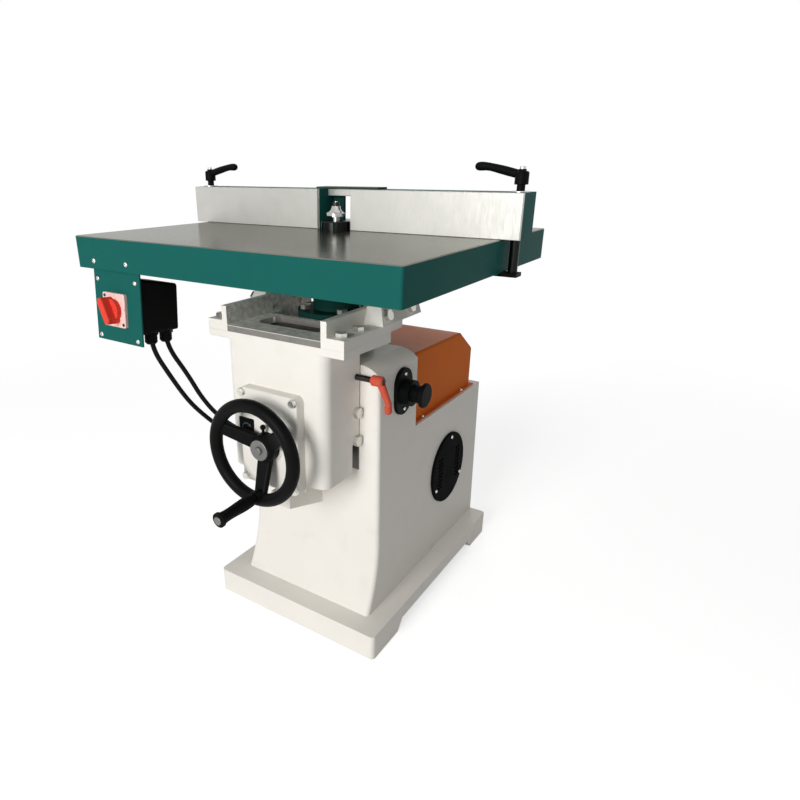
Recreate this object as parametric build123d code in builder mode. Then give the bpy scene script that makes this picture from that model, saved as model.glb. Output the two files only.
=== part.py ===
from build123d import *
from math import asin, atan, atan2, cos, degrees, pi, radians, sin, tan
import os

os.makedirs("parts", exist_ok=True)

# Fits between pieces (radial or face to face)
run_fit = 0.05
seat_fit = 0.02
slide_gap = 0.3
bolt_gap = 0.4

# Machine centre line and spindle axis
axis_x = 9.0
axis_y = -16.0

# Heights, from the column up to the table
tower_top = 612.0
rim_drop = 174.0
knee_rise = 60.0
saddle_ledge = 20.0
bracket_height = 144.0
table_plate = 14.0
rim_height = tower_top - rim_drop
knee_top = tower_top + knee_rise
table_underside = knee_top + saddle_ledge + bracket_height
table_height = table_underside + table_plate

# Base: plinth, tapered column and the tall tower at its front
plinth_width = 430.0
plinth_depth = 610.0
plinth_y = 107.0
plinth_height = 59.0
plinth_corner = 10.0
plinth_wall = 14.0
arch_height = 26.0
arch_slope = 20.0
front_foot = 108.0
rear_foot = 97.0
column_front = -108.0
column_foot = -149.0
flare_top = 225.0
column_half_foot = 170.4
column_taper = 0.0167
column_back = plinth_y + plinth_depth / 2
column_edge = 9.0
tower_back = 51.0
shoulder_x = 119.0
shoulder_drop = 18.0
casting_wall = 12.0
side_margin = 5.0
tower_side_wall = 13.0
tower_roof = 22.0
belt_window_rise = 8.0
belt_window_drop = 4.0
belt_window_inset = 15.0

# Motor room behind the tower
motor_inset = 181.0
motor_y = column_back - motor_inset
motor_room_half = 138.0
motor_room_front = 75.0
motor_ledge = 12.0
rim_rear = 46.0
motor_plate_drop = 37.0
motor_plate_z = rim_height - motor_plate_drop
motor_plate_thickness = 12.0
motor_radius = 96.0
motor_root_radius = 88.0
motor_fins = 28
motor_length = 214.0
motor_flange_radius = 104.0
motor_flange = 14.0
motor_shaft_radius = 12.0
motor_shaft_room = 12.0
motor_bolt_circle = 84.0
motor_fin_gap = 10.0
motor_end = 30.0
motor_shaft_depth = 60.0
motor_shaft_end = 4.0

# Spindle cartridge, shaft and cutter
housing_radius = 48.0
housing_reach = 50.0
housing_drop = 70.0
housing_bottom = tower_top - housing_reach
housing_top = table_height - housing_drop
housing_flange_radius = 80.0
housing_flange = 82.0
housing_bolt_circle = 64.5
housing_edge = 2.0
shaft_room = 6.0
bearing_lip = 2.0
bolt_short = 6.0
bearing_radius = 40.0
bearing_width = 18.0
spindle_radius = 20.0
spindle_tail = 10.0
nose_radius = 17.0
nose_drop = 50.0
nose_taper = 4.0
nose_end = 10.0
bit_shank = 38.0
nose_start = table_height - nose_drop
collet_nut_radius = 29.5
collet_nut_sink = 12.0
collet_nut_height = 29.0
collet_nut_edge = 1.5
collet_slot_depth = 3.0
collet_slot_width = 7.0
collet_slot_share = 0.6
collet_nut_bottom = table_height - collet_nut_sink
collet_nut_top = collet_nut_bottom + collet_nut_height
bit_shank_radius = 6.0
cutter_radius = 20.0
cutter_rise = 9.0
cutter_height = 19.0
cutter_land = 6.0
cutter_neck = 8.0
cutter_flute = 4.0
pilot_radius = 2.5
bit_bearing_radius = 6.5
bit_bearing_width = 7.0
bit_bearing_gap = 0.5
bit_bearing_edge = 1.0
bit_tail = 9.0
cutter_bottom = collet_nut_top + cutter_rise
cutter_top = cutter_bottom + cutter_height
bit_tip = cutter_top + bit_tail

# Belt drive
pulley_rise = 25.0
pulley_bottom = rim_height + pulley_rise
spindle_bottom = pulley_bottom - spindle_tail
pulley_width = 55.0
pulley_rim = 4.0
pulley_rim_height = 7.0
spindle_pulley_radius = 45.0
motor_pulley_radius = 65.0
motor_hub_radius = 24.0
motor_hub = 2.0
pulley_dish = 18.0
pulley_dish_wall = 8.0
pulley_dish_gap = 4.0
shaft_edge = 1.5
belt_thickness = 4.0
belt_width = 37.0

# Spindle lock plunger in the right wall
lock_drop = 72.0
lock_z = tower_top - lock_drop
lock_travel = 12.0
lock_collar_radius = 40.0
lock_pin_radius = 6.0
lock_pin_gap = 0.6
lock_pin_tip_gap = 2.0
lock_hole = 14.0
lock_hub_margin = 15.0
lock_bore_gap = 2.0
lock_stem_radius = 10.0
lock_waist_radius = 18.0
lock_end_play = 0.5
lock_knob_radius = 25.5
lock_flange_width = 66.0
lock_flange_height = 100.0
lock_flange_thickness = 8.0
lock_flange_edge = 2.0
lock_boss_radius = 27.0
lock_boss = 28.5
lock_knob_gap = 1.0
lock_knob_length = 16.0
lock_knob_flare = 9.0
lock_knob_round = 4.0
lock_pin_taper = 2.0
lock_stem_back = 6.0

# Round vent cover on the right wall
vent_drop = 173.0
vent_y = motor_y
vent_z = rim_height - vent_drop
vent_radius = 90.0
vent_thickness = 6.0
vent_edge = 2.5
vent_lap = 16.0
vent_hole_radius = vent_radius - vent_lap
vent_slot_x = 48.0
vent_slot_length = 26.0
vent_slot_width = 5.0
vent_slot_pitch = 9.5

# Belt cover over the motor room
cover_half = 149.0
cover_gap = 2.0
cover_drop = 15.0
cover_fall = 7.0
cover_chamfer_depth = 74.0
cover_chamfer_drop = 59.5
cover_sheet = 2.0
cover_flange = 2.5
cover_flange_side = 8.0
cover_flange_rear = 6.5
cover_inset = 25.0
cover_bend = 6.0
cover_front = tower_back + cover_gap
cover_flange_half = cover_half + cover_flange_side
cover_flange_back = column_back - cover_inset
cover_back = cover_flange_back - cover_flange_rear
cover_top = tower_top - cover_drop
cover_chamfer_y = cover_back - cover_chamfer_depth
cover_chamfer_z = cover_top - cover_chamfer_drop

# Knee
knee_half = 119.5
knee_height = 284.0
knee_bottom = knee_top - knee_height
knee_front = -228.0
knee_corner = 22.0
knee_flange = 14.0
knee_flange_rear = 19.0
knee_ledge_half = 160.5
knee_ledge_back = -66.0
knee_floor_back = -101.0
knee_arm_inner = 105.0
jaw_rise = 63.0
jaw_bottom = knee_bottom + jaw_rise
window_half = 80.0
window_front = -181.0
window_back = -112.0
window_corner = 20.0
web_rise = 20.0
web_bottom = knee_bottom + web_rise
web_thickness = 16.0
lug_half = 12.0

# Dovetail way on the tower front and its jaws on the knee
way_reach = 1.0
way_bottom = knee_bottom - way_reach
way_pad_half = knee_half
way_pad = 3.0
way_face = column_front - way_pad
way_tip = -134.7
way_root_half = 70.0
way_tip_half = 84.0
knee_back = way_tip - slide_gap
gib_width = 9.0
gib_screw_drop = 154.0
gib_screw_pitch = 60.0
gib_end = 2.0
gib_screw_short = 4.0

# Lift: fixed screw on a shelf, turning nut with a mitre gear, handwheel shaft
screw_y = -171.0
screw_radius = 9.0
screw_spigot_radius = 7.0
screw_spigot = 36.0
shelf_half = 24.0
shelf_front = -221.0
shelf_room = 44.0
shelf_tip = 28.0
shelf_root = 64.0
shelf_top = knee_bottom - shelf_room
wheel_rise = 77.0
wheel_z = knee_bottom + wheel_rise
screw_over_wheel = 37.0
screw_top = wheel_z + screw_over_wheel
gear_teeth = 20
gear_pitch_radius = 28.0
gear_face = 10.0
gear_back = 6.0
gear_tip_slope = 1.085
gear_root_slope = 0.88
gear_tooth_share = 0.40
gear_flank = 24.0
nut_radius = 18.0
nut_collar_radius = 30.0
nut_collar = 9.0
nut_neck_radius = 12.5
nut_bush_radius = 27.0
nut_bush_lip_radius = 32.0
shaft_radius = 12.5
shaft_short = 2.0

# Bearing plate on the knee front
plate_half = 71.0
plate_below = 92.0
plate_above = 109.0
plate_bottom = wheel_z - plate_below
plate_top = wheel_z + plate_above
plate_thickness = 22.0
plate_corner = 12.0
plate_edge = 3.0
plate_bolt_x = 62.5
plate_bolt_z = 91.0
spigot_radius = 40.0
spigot_end = -213.0
plate_boss_radius = 34.0
plate_boss = 2.0

# Handwheel and its turning grip
hub_front = -277.0
hub_radius = 29.0
hub_gap = 0.5
hub_step = 5.0
hub_bevel = 6.0
rim_y = -296.0
rim_radius = 95.5
rim_tube = 13.0
spoke_turn = -83.0
spoke_sink = 6.0
spoke_back = 13.0
spoke_depth = 16.0
spoke_width = 34.0
spoke_corner = 6.0
spoke_end_depth = 14.0
spoke_end_width = 27.0
cap_radius = 21.0
cap_thickness = 4.0
cap_screw_radius = 8.0
cap_edge = 1.0
grip_radius = 86.0
grip_start = -311.0
grip_end = -412.0
grip_boss_radius = 13.0
grip_stud_radius = 5.0
grip_stud_depth = 12.0
grip_stud_short = 2.0
grip_washer = 4.0
grip_washer_radius = 8.0
grip_neck = 10.0
grip_swell = 12.5
grip_waist = 11.0
grip_shoulder = 12.0
grip_knob = 14.5

# Saddle and the two brackets that carry the table
saddle_floor = 13.0
saddle_bolt_inset = 19.0
saddle_bolt_pitch = 55.0
saddle_wall_inner = 111.0
saddle_wall_outer = 124.0
saddle_wall_height = 49.0
saddle_wall = saddle_wall_outer - saddle_wall_inner
saddle_wall_back = 47.0
saddle_skirt = 17.0
bracket_front = -106.0
bracket_foot = 166.0
bracket_waist = 148.0
bracket_waist_rise = 53.0
bracket_waist_z = knee_top + saddle_ledge + bracket_waist_rise
bracket_head = 178.0
bracket_head_thickness = 14.0
bracket_rake = 18.0
bracket_bolt_rise = 37.0
bracket_bolt_inset = 22.0
bracket_bolt_pitch = 90.0
bracket_grip = 52.0
table_bolt_inset = 36.0
table_bolt_pitch = 90.0
table_bolt_depth = 10.0
bolt_radius = 6.0
bolt_head_radius = 11.5
bolt_head = 9.0

# Table
table_length = 700.0
table_depth = 595.0
table_y = -66.0
apron_height = 58.0
apron_wall = 10.0
table_corner = 5.0
table_hole_radius = 33.0
table_rib = 10.0
table_rib_drop = 30.0
table_rib_front = 133.5
table_rib_rear = 91.5
table_edge = 1.5

# Fence in two halves with a bridge between them
fence_front = -16.0
fence_back = 51.0
fence_height = 76.0
fence_plate = 8.0
fence_plate_edge = 0.8
fence_wall = 8.0
mouth_left = -37.0
mouth_right = 43.0
fence_end_block = 44.0
bridge_left = -65.0
bridge_right = 115.0
bridge_thickness = 6.0
bridge_front = 14.0
lintel_drop = 14.0
lintel_front = 22.0
lintel_depth = 12.0
guard_right = -12.0
guard_thickness = 8.0
guard_rise = 2.0

# Fence clamps outside the table's ends
clamp_out = 14.0
clamp_x = table_length / 2 + clamp_out
fence_margin = 17.0
fence_half = clamp_x + fence_margin
clamp_y = 18.0
rod_radius = 7.0
rod_gap = 0.1
rod_pin_radius = 5.0
rod_pin = 4.5
rod_edge = 1.0
claw_thickness = 7.0
claw_grip = 28.0
claw_margin = 12.0
claw_inner = table_length / 2 - claw_grip
claw_outer = clamp_x + claw_margin
claw_width = 26.0
lever_neck = 12.0
lever_neck_wall = 1.7
lever_hub_radius = 13.0
lever_hub = 36.5
lever_hub_edge = 3.0
lever_reach = 58.0
lever_rise = 13.2
lever_root_drop = 7.5
lever_root_radius = 8.0
lever_tip_radius = 6.2
lever_grip_gap = 6.5
lever_grip_drop = 1.2
lever_grip = 8.0
lever_grip_radius = 7.3

# Knee clamp lever
knee_lever_y = -123.0
knee_lever_drop = 80.0
knee_lever_z = knee_top - knee_lever_drop
knee_lever_start = 163.0
knee_lever_neck = 3.0
knee_lever_hub_radius = 10.5
knee_lever_hub = 26.0
knee_lever_reach = 44.0
knee_lever_rise = 17.0
knee_stud_end = 1.0
knee_lever_turn = -84.0
knee_stud_radius = 6.0
knee_stud_collar_radius = 9.0

# Switch on its sheet panel below the table front
panel_inset = 96.5
panel_x = panel_inset - table_length / 2
panel_width = 131.0
panel_drop = 135.0
panel_sheet = 3.0
panel_tab = 40.0
panel_lean = 4.5
switch_x = -4.0
switch_drop = 73.0
switch_plate_size = 63.0
switch_plate_thickness = 6.0
switch_knob_radius = 21.0
switch_disc = 9.0
switch_bar_length = 52.0
switch_bar_width = 15.0
switch_bar = 17.0
switch_edge = 3.0
switch_turn = 27.0
switch_stem_radius = 4.0
switch_stem = 10.0
switch_plate_corner = 4.0
box_x = 16.0
box_width = 95.0
box_top = 11.0
box_height = 102.0
box_depth = 88.0
box_draft_top = 13.0
box_draft_side = 3.0
box_corner = 6.0
stem_room = 4.0
gland_bore = 16.0
gland_x = 43.0
gland_near = 35.0
gland_far = 71.0
gland_radius = 12.0
gland_nut_radius = 14.5
gland_nut = 6.0
gland_length = 24.0
gland_round = 4.0
column_gland_radius = 9.0
column_gland_nut_radius = 13.0
gland_shank = 34.0
gland_taper = 42.0
cable_radius = 4.75
cable_lead = 46.0

# Turned-out values shared by the pieces
table_front = table_y - table_depth / 2
apron_bottom = table_height - apron_height
lean = atan(column_taper)
motor_plate_top = motor_plate_z + motor_plate_thickness
fence_top = table_height + fence_height
claw_top = apron_bottom - slide_gap
rod_bottom = claw_top - claw_thickness


def half_width(z):
    return column_half_foot - column_taper * (z - plinth_height)


def level(z, x=axis_x, y=0.0):
    return Plane(origin=(x, y, z))


def front(y, x=axis_x, z=0.0):
    return Plane(origin=(x, y, z), x_dir=(1, 0, 0), z_dir=(0, -1, 0))


def side(x, y=0.0, z=0.0):
    return Plane(origin=(x, y, z), x_dir=(0, 1, 0), z_dir=(1, 0, 0))


def right_wall(y, z):
    return Plane(origin=(axis_x + half_width(z), y, z), x_dir=(0, 1, 0), z_dir=(cos(lean), 0, sin(lean)))


def save(builder, name):
    builder.part.label = name
    export_step(builder.part, f"parts/{name}.step")


def block(plane, width, depth, height, mode=Mode.ADD):
    """Rectangular bar on a plane, centred on the plane's origin."""
    with BuildSketch(plane) as outline:
        Rectangle(width, depth)
    extrude(outline.sketch, amount=height, mode=mode)


def disc(plane, radius, height, mode=Mode.ADD):
    """Round bar on a plane, centred on the plane's origin."""
    with BuildSketch(plane) as outline:
        Circle(radius)
    extrude(outline.sketch, amount=height, mode=mode)


def hex_bolt(seat, length):
    """Hexagon bolt: head on the seat plane, shank into it."""
    with BuildSketch(seat) as head:
        RegularPolygon(bolt_head_radius, 6)
    extrude(head.sketch, amount=bolt_head)
    disc(seat, bolt_radius, -length)


def bolt_hole(seat, depth):
    disc(seat, bolt_radius + bolt_gap, -depth, Mode.SUBTRACT)


# Cable runs, each from its gland under the switch box to its gland in the column
panel_top_y = table_front + apron_wall
panel_face = Plane(
    origin=(panel_x, panel_top_y, apron_bottom),
    x_dir=(1, 0, 0),
    z_dir=(0, -cos(radians(panel_lean)), sin(radians(panel_lean))),
)
panel_rear = panel_face.offset(-panel_sheet)


def box_gland(depth):
    """Plane on the underside of the switch box, facing out along the gland."""
    spot = panel_rear.from_local_coords(Vector(gland_x, -box_top - box_height, -depth))
    return Plane(origin=spot, x_dir=(1, 0, 0), z_dir=-panel_rear.y_dir)


gland_front = box_gland(gland_near)
gland_rear = box_gland(gland_far)
front_start = gland_front.from_local_coords(Vector(0, 0, gland_nut / 2))
rear_start = gland_rear.from_local_coords(Vector(0, 0, gland_nut / 2))
front_run = [
    front_start,
    gland_front.from_local_coords(Vector(0, 0, cable_lead)),
    Vector(-203, -299, 578),
    Vector(-189, -268, 522),
    Vector(-179, -236, 480),
    Vector(-167, -200, 440),
    Vector(-153, -164, 411),
    Vector(-143, -128, 396),
]
rear_run = [
    rear_start,
    gland_rear.from_local_coords(Vector(0, 0, cable_lead)),
    Vector(-193, -257, 568),
    Vector(-181, -240, 523),
    Vector(-164, -216, 480),
    Vector(-144, -188, 446),
    Vector(-133, -158, 426),
    Vector(-128, -124, 418),
]


def column_gland(run):
    """Plane at a cable's end in the column front, facing back out of the wall."""
    along = (run[-1] - run[-2]).normalized()
    return Plane(origin=run[-1], z_dir=-along)


def bend_radii(run):
    radii = []
    for before, corner, after in zip(run, run[1:], run[2:]):
        first = corner - before
        second = after - corner
        turn = radians(first.get_angle(second))
        radii.append(0.45 * min(first.length, second.length) / tan(turn / 2))
    return radii


# Base casting
room_back = column_back - rim_rear
lock_seat_x = axis_x + half_width(lock_z + lock_flange_height / 2)
tower_room_half = half_width(tower_top) - tower_side_wall

with BuildPart() as base_casting:
    with BuildSketch(side(axis_x)):
        with BuildLine():
            flare = TangentArc((column_front, flare_top), (column_foot, plinth_height), tangent=(0, -1))
            Polyline(
                flare @ 1,
                (column_back, plinth_height),
                (column_back, rim_height),
                (tower_back, rim_height),
                (tower_back, tower_top),
                (column_front, tower_top),
                flare @ 0,
            )
        make_face()
    extrude(amount=column_half_foot + side_margin, both=True)
    # Sides lean in towards the top and round over at the tower's shoulders
    shoulder_z = tower_top - shoulder_drop
    with BuildSketch(front(column_back)):
        with BuildLine():
            Polyline(
                (half_width(shoulder_z), shoulder_z),
                (column_half_foot, plinth_height),
                (-column_half_foot, plinth_height),
                (-half_width(shoulder_z), shoulder_z),
            )
            right_arc = TangentArc(
                (shoulder_x, tower_top), (half_width(shoulder_z), shoulder_z), tangent=(1, 0)
            )
            left_arc = TangentArc(
                (-shoulder_x, tower_top), (-half_width(shoulder_z), shoulder_z), tangent=(-1, 0)
            )
            Line(left_arc @ 0, right_arc @ 0)
        make_face()
    extrude(amount=column_back - column_foot, mode=Mode.INTERSECT)
    front_corners = edges().filter_by(
        lambda e: e.center().Y < column_front + column_edge
        and abs(e.center().X - axis_x) > shoulder_x
        and e.center().Z < shoulder_z
        and e.length > 2 * column_edge
    )
    fillet(front_corners, column_edge)
    # Plinth with an arch under each side
    with BuildSketch(level(0, axis_x, plinth_y)):
        RectangleRounded(plinth_width, plinth_depth, plinth_corner)
    extrude(amount=plinth_height)
    foot_front = plinth_y - plinth_depth / 2
    with BuildSketch(side(axis_x)):
        with BuildLine():
            Polyline(
                (foot_front + front_foot, 0),
                (foot_front + front_foot + arch_slope, arch_height),
                (column_back - rear_foot - arch_slope, arch_height),
                (column_back - rear_foot, 0),
                close=True,
            )
        make_face()
    extrude(amount=plinth_width, both=True, mode=Mode.SUBTRACT)
    # Rooms for the spindle drive and the motor, open below
    block(
        level(0, axis_x, plinth_y),
        plinth_width - 2 * plinth_wall,
        plinth_depth - 2 * plinth_wall,
        plinth_height - plinth_wall,
        Mode.SUBTRACT,
    )
    tower_room_front = column_front + casting_wall
    tower_room_back = tower_back - casting_wall
    block(
        level(0, axis_x, (tower_room_front + tower_room_back) / 2),
        2 * tower_room_half,
        tower_room_back - tower_room_front,
        tower_top - tower_roof,
        Mode.SUBTRACT,
    )
    block(
        level(0, axis_x, (motor_room_front + room_back) / 2),
        2 * motor_room_half,
        room_back - motor_room_front,
        motor_plate_z,
        Mode.SUBTRACT,
    )
    block(
        level(motor_plate_z, axis_x, (motor_room_front + room_back) / 2),
        2 * (motor_room_half + motor_ledge),
        room_back - motor_room_front + 2 * motor_ledge,
        rim_height,
        Mode.SUBTRACT,
    )
    # Window for the belt in the tower's rear wall
    window_low = rim_height + belt_window_rise
    window_high = tower_top - tower_roof - belt_window_drop
    block(
        front(tower_back, axis_x, (window_low + window_high) / 2),
        2 * (shoulder_x - belt_window_inset),
        window_high - window_low,
        casting_wall,
        Mode.SUBTRACT,
    )
    # Seat of the spindle cartridge
    disc(level(tower_top, axis_x, axis_y), housing_radius + seat_fit, -tower_roof, Mode.SUBTRACT)
    # Flat seat and bore of the lock plunger
    with BuildSketch(side(lock_seat_x, axis_y, lock_z)):
        SlotOverall(
            lock_flange_height + 2 * bolt_gap, lock_flange_width + 2 * bolt_gap, rotation=90
        )
    extrude(amount=lock_boss, mode=Mode.SUBTRACT)
    lock_bore = lock_seat_x - axis_x - tower_room_half
    disc(side(lock_seat_x, axis_y, lock_z), lock_stem_radius + lock_bore_gap, -lock_bore, Mode.SUBTRACT)
    # Vent opening into the motor room
    disc(right_wall(vent_y, vent_z), vent_hole_radius, motor_room_half - half_width(0), Mode.SUBTRACT)
    # Machined pad and dovetail way for the knee
    way_height = tower_top - way_bottom
    block(
        front(column_front, axis_x, way_bottom + way_height / 2), 2 * way_pad_half, way_height, way_pad
    )
    with BuildSketch(level(way_bottom)):
        Polygon(
            (-way_root_half, way_face),
            (way_root_half, way_face),
            (way_tip_half, way_tip),
            (-way_tip_half, way_tip),
            align=None,
        )
    extrude(amount=way_height)
    # Shelf that carries the lift screw
    with BuildSketch(side(axis_x)):
        Polygon(
            (column_front, shelf_top),
            (column_front, shelf_top - shelf_root),
            (shelf_front, shelf_top - shelf_tip),
            (shelf_front, shelf_top),
            align=None,
        )
    extrude(amount=shelf_half, both=True)
    disc(level(shelf_top, axis_x, screw_y), screw_spigot_radius + seat_fit, -shelf_root, Mode.SUBTRACT)
    # Cable entries in the column front
    for run in (front_run, rear_run):
        disc(column_gland(run), column_gland_radius + bolt_gap, -gland_shank - casting_wall, Mode.SUBTRACT)
    # Bolt holes for the cartridge
    with BuildSketch(level(tower_top, axis_x, axis_y)):
        with PolarLocations(housing_bolt_circle, 4, start_angle=45):
            Circle(bolt_radius + bolt_gap)
    extrude(amount=-tower_roof, mode=Mode.SUBTRACT)
save(base_casting, "base_casting")

# Lift screw, fixed upright in the shelf
with BuildPart() as lift_screw:
    disc(level(shelf_top, axis_x, screw_y), screw_radius, screw_top - shelf_top)
    chamfer(faces().sort_by(Axis.Z)[-1].edges(), screw_radius - screw_spigot_radius)
    disc(level(shelf_top, axis_x, screw_y), screw_spigot_radius, -screw_spigot)
save(lift_screw, "lift_screw")

# Spindle cartridge
with BuildPart() as spindle_housing:
    disc(level(housing_bottom, axis_x, axis_y), housing_radius, housing_top - housing_bottom)
    disc(level(tower_top, axis_x, axis_y), housing_flange_radius, housing_flange)
    disc(
        level(housing_bottom, axis_x, axis_y),
        spindle_radius + shaft_room,
        housing_top - housing_bottom,
        Mode.SUBTRACT,
    )
    seat_depth = bearing_width + bearing_lip
    disc(level(housing_bottom, axis_x, axis_y), bearing_radius + seat_fit, seat_depth, Mode.SUBTRACT)
    disc(level(housing_top, axis_x, axis_y), bearing_radius + seat_fit, -seat_depth, Mode.SUBTRACT)
    with BuildSketch(level(tower_top, axis_x, axis_y)):
        with PolarLocations(housing_bolt_circle, 4, start_angle=45):
            Circle(bolt_radius + bolt_gap)
    extrude(amount=housing_flange, mode=Mode.SUBTRACT)
    chamfer(faces().sort_by(Axis.Z)[-1].edges().sort_by(SortBy.RADIUS)[-1], housing_edge)
save(spindle_housing, "spindle_housing")

with BuildPart() as spindle_bearings:
    for z in (housing_bottom + bearing_lip, housing_top - bearing_lip - bearing_width):
        with BuildSketch(level(z, axis_x, axis_y)):
            Circle(bearing_radius)
            Circle(spindle_radius + run_fit, mode=Mode.SUBTRACT)
        extrude(amount=bearing_width)
save(spindle_bearings, "spindle_bearings")

# Motor plate on the ledge of the motor room, with the motor hung under it
plate_front = motor_room_front - motor_ledge + slide_gap
plate_back = room_back + motor_ledge - slide_gap

with BuildPart() as motor_plate:
    block(
        level(motor_plate_z, axis_x, (plate_front + plate_back) / 2),
        2 * (motor_room_half + motor_ledge - slide_gap),
        plate_back - plate_front,
        motor_plate_thickness,
    )
    disc(
        level(motor_plate_z, axis_x, motor_y),
        motor_shaft_radius + motor_shaft_room,
        motor_plate_thickness,
        Mode.SUBTRACT,
    )
    with BuildSketch(level(motor_plate_z, axis_x, motor_y)):
        with PolarLocations(motor_bolt_circle, 4, start_angle=45):
            Circle(bolt_radius + bolt_gap)
    extrude(amount=motor_plate_thickness, mode=Mode.SUBTRACT)
save(motor_plate, "motor_plate")

with BuildPart() as motor:
    disc(level(motor_plate_z, axis_x, motor_y), motor_radius, -motor_length)
    with BuildSketch(level(motor_plate_z - motor_end, axis_x, motor_y)):
        with PolarLocations(motor_radius, motor_fins):
            Rectangle(2 * (motor_radius - motor_root_radius), motor_fin_gap)
    extrude(amount=-(motor_length - 2 * motor_end), mode=Mode.SUBTRACT)
    disc(level(motor_plate_z, axis_x, motor_y), motor_flange_radius, -motor_flange)
    disc(
        level(motor_plate_z, axis_x, motor_y), motor_shaft_radius + run_fit, -motor_shaft_depth, Mode.SUBTRACT
    )
    with BuildSketch(level(motor_plate_z, axis_x, motor_y)):
        with PolarLocations(motor_bolt_circle, 4, start_angle=45):
            Circle(bolt_radius + bolt_gap)
    extrude(amount=-motor_flange, mode=Mode.SUBTRACT)
save(motor, "motor")

with BuildPart() as base_bolts:
    for turn in range(4):
        angle = radians(45 + 90 * turn)
        spot = (axis_x + housing_bolt_circle * cos(angle), axis_y + housing_bolt_circle * sin(angle))
        hex_bolt(level(tower_top + housing_flange, *spot), housing_flange + tower_roof - bolt_short)
        spot = (axis_x + motor_bolt_circle * cos(angle), motor_y + motor_bolt_circle * sin(angle))
        hex_bolt(level(motor_plate_top, *spot), motor_plate_thickness + motor_flange - bolt_short)
save(base_bolts, "base_bolts")

# Shafts and pulleys of the belt drive
with BuildPart() as spindle_shaft:
    with BuildSketch(side(axis_x, axis_y)):
        Polygon(
            (0, spindle_bottom),
            (spindle_radius, spindle_bottom),
            (spindle_radius, nose_start),
            (nose_radius, nose_start + nose_taper),
            (nose_radius, collet_nut_top - nose_end),
            (0, collet_nut_top - nose_end),
            align=None,
        )
    revolve(axis=Axis((axis_x, axis_y, 0), (0, 0, 1)))
    shank_hole = bit_shank + slide_gap
    disc(level(collet_nut_top, axis_x, axis_y), bit_shank_radius + seat_fit, -shank_hole, Mode.SUBTRACT)
save(spindle_shaft, "spindle_shaft")


def pulley(plane, crown, bore, hub_radius, hub_length):
    """Crowned belt pulley with two rims and a hub rising from its upper face."""
    disc(plane, crown, pulley_width)
    disc(plane, crown + pulley_rim_height, pulley_rim)
    disc(plane.offset(pulley_width - pulley_rim), crown + pulley_rim_height, pulley_rim)
    disc(plane, hub_radius, pulley_width + hub_length)
    disc(plane, bore + seat_fit, pulley_width + hub_length, Mode.SUBTRACT)


with BuildPart() as spindle_pulley:
    lock_hub = lock_z + lock_hub_margin - pulley_bottom - pulley_width
    spindle_seat = level(pulley_bottom, axis_x, axis_y)
    pulley(spindle_seat, spindle_pulley_radius, spindle_radius, lock_collar_radius, lock_hub)
    for turn in range(4):
        out = Vector(cos(pi * turn / 2), sin(pi * turn / 2), 0)
        spot = Vector(axis_x, axis_y, lock_z) + out * lock_collar_radius
        disc(Plane(origin=spot, z_dir=out), lock_pin_radius + lock_pin_gap, -lock_hole, Mode.SUBTRACT)
save(spindle_pulley, "spindle_pulley")

with BuildPart() as motor_shaft:
    shaft_low = motor_plate_z - motor_shaft_depth + motor_shaft_end
    shaft_high = pulley_bottom + pulley_width + motor_shaft_end
    disc(level(shaft_low, axis_x, motor_y), motor_shaft_radius, shaft_high - shaft_low)
    chamfer(faces().sort_by(Axis.Z)[-1].edges(), shaft_edge)
save(motor_shaft, "motor_shaft")

with BuildPart() as motor_pulley:
    motor_seat = level(pulley_bottom, axis_x, motor_y)
    pulley(motor_seat, motor_pulley_radius, motor_shaft_radius, motor_hub_radius, motor_hub)
    with BuildSketch(level(pulley_bottom + pulley_width, axis_x, motor_y)):
        Circle(motor_pulley_radius - pulley_dish_wall)
        Circle(motor_hub_radius + pulley_dish_gap, mode=Mode.SUBTRACT)
    extrude(amount=-pulley_dish, mode=Mode.SUBTRACT)
save(motor_pulley, "motor_pulley")

with BuildPart() as drive_belt:
    with BuildSketch(level(pulley_bottom + (pulley_width - belt_width) / 2)):
        with Locations((0, axis_y)):
            Circle(spindle_pulley_radius + slide_gap + belt_thickness)
        with Locations((0, motor_y)):
            Circle(motor_pulley_radius + slide_gap + belt_thickness)
        make_hull()
        offset(amount=-belt_thickness, mode=Mode.SUBTRACT)
    extrude(amount=belt_width)
save(drive_belt, "drive_belt")

# Collet nut and cutter
with BuildPart() as collet_nut:
    nut_seat = level(collet_nut_bottom, axis_x, axis_y)
    disc(nut_seat, collet_nut_radius, collet_nut_height)
    chamfer(edges(), collet_nut_edge)
    disc(nut_seat, nose_radius + seat_fit, collet_nut_height - nose_end, Mode.SUBTRACT)
    disc(nut_seat, bit_shank_radius + seat_fit, collet_nut_height, Mode.SUBTRACT)
    with BuildSketch(level(collet_nut_top, axis_x, axis_y)):
        with PolarLocations(collet_nut_radius, 6):
            Rectangle(2 * collet_slot_depth, collet_slot_width)
    extrude(amount=-collet_nut_height * collet_slot_share, mode=Mode.SUBTRACT)
save(collet_nut, "collet_nut")

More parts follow.
